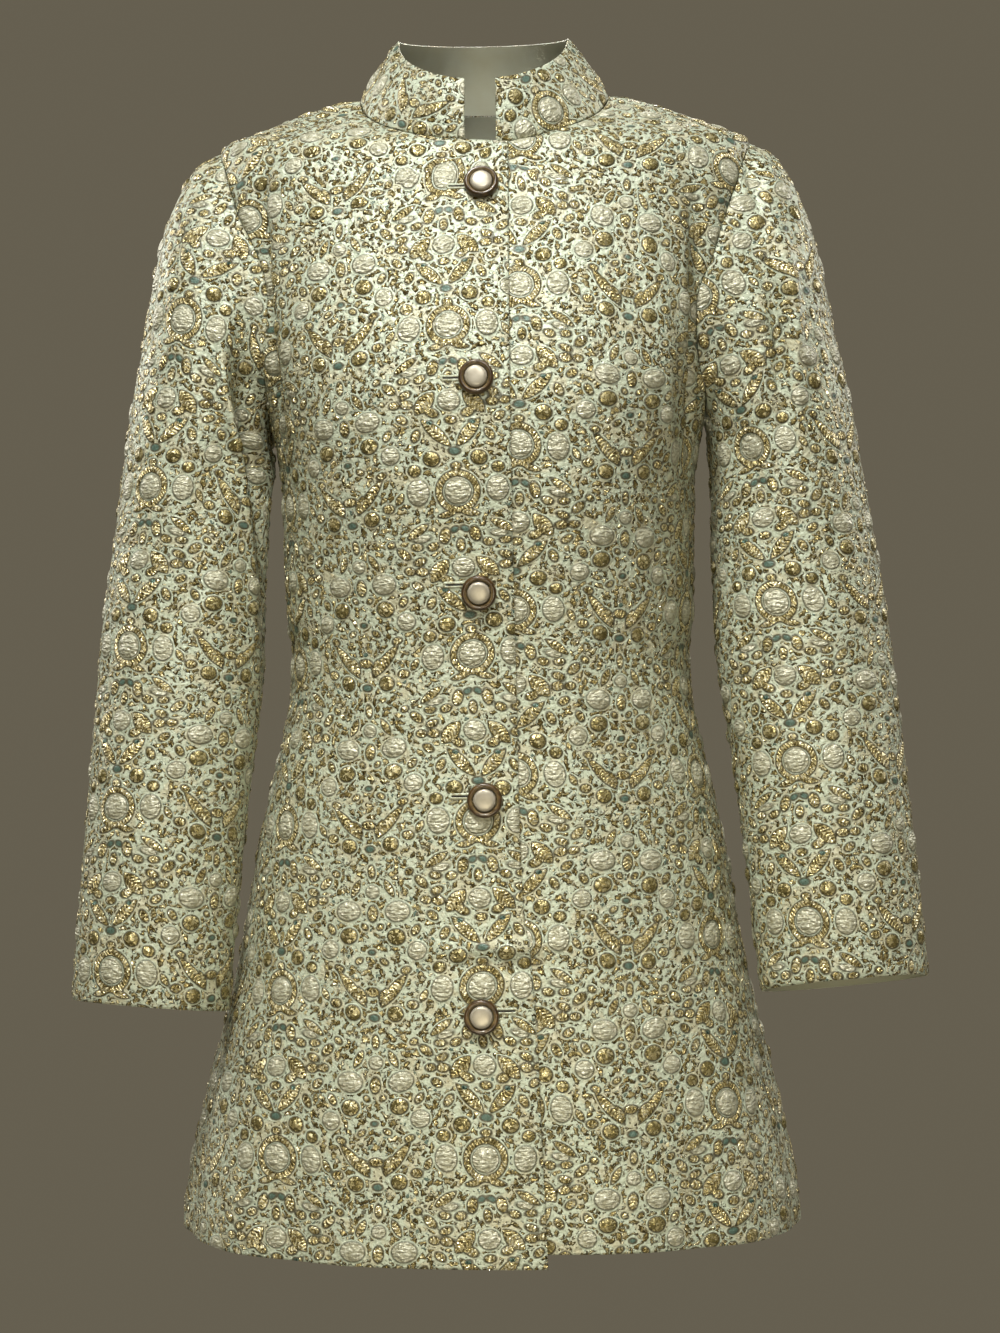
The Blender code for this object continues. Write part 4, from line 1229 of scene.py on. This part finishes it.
under_cover = ease((under[..., 0] - lap_past(under[..., 2])) / LAP_CLEAR)
covers = {"front_right": clear_of_holes(over), "front_left": under_cover}
cloth = {
    name: cloth_piece(name, points, out, covers.get(name, 1.0), around=name.startswith("sleeve"))
    for name, (points, out) in grids.items()
}
for name, piece in cloth.items():
    piece.data.materials.append(brocade_finish)
    piece.data.materials.append(reverse_finish)
    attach(piece, "root")
    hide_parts(name)

# %% [markdown]
# ## Buttons
# Each button is a polished brown rim round a satin pearl cap. A torus and a ball would do from afar; turning
# a drawn section about the axis gives the rolled rim and the cap's flat crown.

# %% Turn the buttons
RIM_OUTER = 0.012
RIM_INNER = 0.0081
RIM_HEIGHT = 0.0050
PEARL_RADIUS = 0.0077
PEARL_BASE = 0.0007
PEARL_HEIGHT = 0.0062
BUTTON_GAP = 0.0005
BUTTON_SEAT_SHARE = 0.8
TURN_STEPS = 64
MERGE = 1e-6
LAP_EVERY = 4

# Shares of the radius and height up each section
RIM_SECTION = ((0.0, 0.0), (0.80, 0.0), (0.96, 0.10), (1.0, 0.26), (0.99, 0.46), (0.92, 0.72), (0.78, 0.92),
               (0.58, 1.0), (0.36, 0.97), (0.18, 0.86), (0.05, 0.68), (0.0, 0.5))
PEARL_SECTION = ((0.0, 0.0), (1.0, 0.0), (1.0, 0.50), (0.985, 0.64), (0.94, 0.78), (0.86, 0.88), (0.74, 0.935),
                 (0.55, 0.97), (0.3, 0.99), (0.0, 1.0))


def lap_point(x, z):
    """The point of the lap's right side at a distance across and a height."""
    rows = over[::LAP_EVERY, ::-1]
    heights = [np.interp(x, row[:, 0], row[:, 2]) for row in rows]
    places = [np.interp(x, row[:, 0], row[:, 1]) for row in rows]
    return Vector((x, float(np.interp(z, heights, places)), z))


def button_place(z, x):
    """A frame on the lap whose third axis points away from the cloth."""
    reach = RIM_OUTER * BUTTON_SEAT_SHARE
    right = lap_point(x + reach, z) - lap_point(x - reach, z)
    up = lap_point(x, z + reach) - lap_point(x, z - reach)
    out = right.cross(up).normalized()
    right.normalize()
    axes = Matrix((right, out.cross(right), out)).transposed().to_4x4()
    return Matrix.Translation(lap_point(x, z) + out * BUTTON_GAP) @ axes


def spin_round(bm, line, steps):
    """A line spun once round the upright axis, with its seam and poles closed."""
    about = {"cent": (0, 0, 0), "axis": (0, 0, 1), "angle": 2 * math.pi}
    bmesh.ops.spin(bm, geom=line, steps=steps, use_merge=True, **about)
    bmesh.ops.remove_doubles(bm, verts=bm.verts, dist=MERGE)


def turned_piece(name, section, closed, place):
    """A piece turned about its own axis from a section of radius and height, set at its place."""
    bm = bmesh.new()
    ring = bm.verts.layers.float.new("radius")
    verts = [bm.verts.new((radius, 0, height)) for radius, height in section]
    pairs = list(zip(verts, verts[1:]))
    if closed:
        pairs.append((verts[-1], verts[0]))
    edges = [bm.edges.new(pair) for pair in pairs]
    spin_round(bm, verts + edges, TURN_STEPS)
    bmesh.ops.recalc_face_normals(bm, faces=bm.faces)
    for vert in bm.verts:
        vert[ring] = vert.co.xy.length
    bmesh.ops.transform(bm, matrix=place, verts=bm.verts)
    return to_object(bm, name)


# %% Finishes of the buttons
RIM_OUTSIDE = ((0.3, (0.020, 0.010, 0.003)), (0.55, (0.060, 0.031, 0.008)), (0.8, (0.13, 0.072, 0.020)))
# Painted light on the rim's inner slope
RIM_INSIDE_LIT = ((0.3, (0.07, 0.045, 0.016)), (0.7, (0.19, 0.135, 0.060)))
RIM_LIT_SLOPE_TO = 9.6
PEARL_CROWN = ((0.3, (0.31, 0.28, 0.215)), (0.7, (0.41, 0.375, 0.295)))
# Painted highlight round the pearl cap's edge
PEARL_EDGE_HIGHLIGHT = (0.50, 0.46, 0.37)
PEARL_HIGHLIGHT_FROM = 6.3


def rim_finish():
    """Dark brown rim, clouded like horn, with painted light on its inner slope."""
    material, shader, sums = new_finish("button_rim", Roughness=0.30, Coat_Weight=0.10, Coat_Roughness=0.15)
    cloud = sums.cloud(260.0, 3.0)
    ring = sums.stored("radius") * 1000
    # The inner slope is painted lighter, as light falls on it
    slope = 1 - ring.above(RIM_LIT_SLOPE_TO, 0.7)
    outside = cloud.ramp(RIM_OUTSIDE)
    lit_inside = cloud.ramp(RIM_INSIDE_LIT)
    join(sums, shader, Base_Color=slope.tint(outside, lit_inside))
    return material


def pearl_finish():
    """Satin pearl cap of a warm grey, with a painted highlight round its edge."""
    material, shader, sums = new_finish("button_pearl", Metallic=0.35, Coat_Weight=0.15, Coat_Roughness=0.25)
    cloud = sums.cloud(160.0, 2.0)
    ring = sums.stored("radius") * 1000
    crown = cloud.ramp(PEARL_CROWN)
    base = (ring.above(PEARL_HIGHLIGHT_FROM, 0.6) * 0.6).tint(crown, PEARL_EDGE_HIGHLIGHT)
    join(sums, shader, Base_Color=base, Roughness=0.34 + cloud * 0.12)
    return material


# %% Set the buttons
rim_line = [(RIM_INNER + (RIM_OUTER - RIM_INNER) * r, RIM_HEIGHT * h) for r, h in RIM_SECTION]
pearl_line = [(PEARL_RADIUS * r, PEARL_BASE + (PEARL_HEIGHT - PEARL_BASE) * h) for r, h in PEARL_SECTION]
button_parts = (
    ("button_rim", rim_line, True, rim_finish()),
    ("button_pearl", pearl_line, False, pearl_finish()),
)
for number, (z, x, *_) in enumerate(BUTTONS, start=1):
    for kind, line, closed, material in button_parts:
        piece = turned_piece(f"{kind}_{number}_turned", line, closed, button_place(z, x))
        piece.data.materials.append(material)
        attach(piece, "root")
        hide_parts(f"{kind}_{number}")
print("buttons:", len(BUTTONS))

# %% [markdown]
# ## Buttonholes
# Each buttonhole is bound: two narrow lips of the cloth meet along a slit. Cutting the lap would only show a
# dark line, so the lips are one small roll, spun as a ring and drawn out long, over a thin dark strip of
# painted shade that stands for the shade within the slit.

# %% Bind the buttonholes
LIP_RADIUS = 0.0010
LIP_OFFSET = 0.0013
LIP_SINK = 0.0008
SLIT_WIDTH = 0.0012
SLIT_HEIGHT = 0.0014
LIP_SIDES = 10
LIP_STEPS = 36
LIP_SHADE = (0.30, 0.28, 0.17)
# Painted shade: the dark strip stands in for the shade within the slit
SLIT_PAINTED_SHADE = (0.018, 0.015, 0.010, 1)


def bound_hole(name, place):
    """Two lips joined at their ends, with a dark strip of painted shade sunk between them."""
    bm = bmesh.new()
    round_lip = Matrix.Translation((LIP_OFFSET, 0, 0)) @ Matrix.Rotation(math.pi / 2, 4, "X")
    bmesh.ops.create_circle(bm, segments=LIP_SIDES, radius=LIP_RADIUS, matrix=round_lip)
    line = bm.verts[:] + bm.edges[:]
    spin_round(bm, line, LIP_STEPS)
    for vert in bm.verts:
        vert.co.x += math.copysign(HOLE_HALF_LENGTH, vert.co.x)
    lips = len(bm.faces)
    # The dark strip is painted shade for the slit
    strip = Matrix.Diagonal((2 * HOLE_HALF_LENGTH, SLIT_WIDTH, SLIT_HEIGHT, 1))
    bmesh.ops.create_cube(bm, size=1, matrix=strip)
    bm.faces.ensure_lookup_table()
    for face in bm.faces[lips:]:
        face.material_index = 1
    bmesh.ops.recalc_face_normals(bm, faces=bm.faces)
    bmesh.ops.transform(bm, matrix=place, verts=bm.verts)
    return to_object(bm, name)


def lip_finish():
    """The ground of the cloth without figures, turned on the bias."""
    material, shader, sums = new_finish("binding", Roughness=0.5)
    cloud = sums.cloud(420.0, 2.0)
    bump = sums.node("ShaderNodeBump", {}, {"Strength": 0.6, "Distance": 0.0006, "Height": cloud})
    join(sums, shader, Base_Color=cloud.above(0.5, 0.15).tint(LIP_SHADE, MINT), Normal=bump)
    return material


# %% Set the buttonholes
lip_material = lip_finish()
# The slit's dark strip is painted shade
slit_shade_material = new_finish("slit", Roughness=0.9, Base_Color=SLIT_PAINTED_SHADE)[0]
for number, (z, x, hole, rise) in enumerate(BUTTONS, start=1):
    place = button_place(z + rise, x + hole * HOLE_SHIFT) @ Matrix.Translation((0, 0, -LIP_SINK))
    piece = bound_hole(f"buttonhole_{number}", place)
    piece.data.materials.append(lip_material)
    piece.data.materials.append(slit_shade_material)
    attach(piece, "root")
print("buttonholes:", len(BUTTONS))

# %% [markdown]
# ## Floor, light and camera
# The jacket hangs at the height of a standing wearer over a plain pale floor. A lamp high in front, with a
# narrow spread, lights the chest most and lets the skirt fall off, where a weak warm lamp fills it from below.
# A small lamp makes the metal threads glint, and three more light the back and the sides.

# %% Stage
FLOOR_Z = -1.30
FLOOR_RADIUS = 1.5
FLOOR_PAINT = (0.45, 0.44, 0.41, 1)
LAMP_TONE = (1.0, 0.97, 0.92)

# Name, place, aim, width, power, colour, spread in degrees
LAMPS = (
    ("key", (-0.45, -1.45, 2.38), (0.0, -0.14, -0.31), 0.42, 4.75, (0.985, 0.985, 0.95), 36),
    ("glint", (0.20, -1.50, 0.75), (0, 0, -0.50), 0.10, 12, LAMP_TONE, 180),
    ("low_fill", (0.05, -2.2, -0.9), (0.0, 0, -0.68), 0.4, 1.2, (1.0, 0.90, 0.66), 50),
    ("behind", (0.0, 2.2, 1.0), (0, 0.1, -0.40), 0.8, 16, LAMP_TONE, 180),
    ("left_side", (2.0, 1.3, 0.7), (0, 0, -0.4), 0.9, 20, LAMP_TONE, 180),
    ("right_side", (-2.0, 1.3, 0.7), (0, 0, -0.4), 0.9, 24, LAMP_TONE, 180),
)
AIR = (0.88, 0.77, 0.54, 1)
AIR_STRENGTH = 0.15


def add_floor():
    bm = bmesh.new()
    bmesh.ops.create_circle(bm, cap_ends=True, segments=96, radius=FLOOR_RADIUS)
    bmesh.ops.translate(bm, verts=bm.verts, vec=(0, 0, FLOOR_Z))
    floor = to_object(bm, "floor")
    floor.data.materials.append(new_finish("floor_paint", Roughness=0.8, Base_Color=FLOOR_PAINT)[0])
    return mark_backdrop(floor)


def add_lamp(name, place, aim, size, power, tone, spread):
    lamp = bpy.data.lights.new(name, "AREA")
    lamp.shape = "DISK"
    lamp.size = size
    lamp.energy = power
    lamp.spread = math.radians(spread)
    lamp.color = tone
    holder = bpy.data.objects.new(name, lamp)
    holder.location = place
    holder.rotation_euler = (Vector(aim) - Vector(place)).to_track_quat("-Z", "Y").to_euler()
    bpy.context.scene.collection.objects.link(holder)


add_floor()
for lamp in LAMPS:
    add_lamp(*lamp)
world = bpy.data.worlds.new("studio")
bpy.context.scene.world = world
world.use_nodes = True
background = world.node_tree.nodes["Background"]
background.inputs["Color"].default_value = AIR
background.inputs["Strength"].default_value = AIR_STRENGTH
bpy.context.scene.view_settings.view_transform = "Standard"
print("lamps:", len(LAMPS))

# %% [markdown]
# The camera stands level with the waist, a little to the wearer's left, and is rolled by less than a degree,
# as a camera held in the hand is.

# %% Camera
CAMERA_TURN = math.radians(2.0)
CAMERA_ROLL = math.radians(-0.7)
CAMERA_DISTANCE = 1.9
CAMERA_LENS = 71.0
CAMERA_AIM = (0.0065, 0.0, -0.411)
camera = bpy.data.cameras.new("camera")
camera.lens = CAMERA_LENS
camera.sensor_width = 36.0
camera_holder = bpy.data.objects.new("camera", camera)
camera_holder.matrix_world = (
    Matrix.Translation(CAMERA_AIM)
    @ Matrix.Rotation(CAMERA_TURN, 4, "Z")
    @ Matrix.Translation((0, -CAMERA_DISTANCE, 0))
    @ Matrix.Rotation(math.pi / 2, 4, "X")
    @ Matrix.Rotation(CAMERA_ROLL, 4, "Z")
)
bpy.context.scene.collection.objects.link(camera_holder)
bpy.context.scene.camera = camera_holder
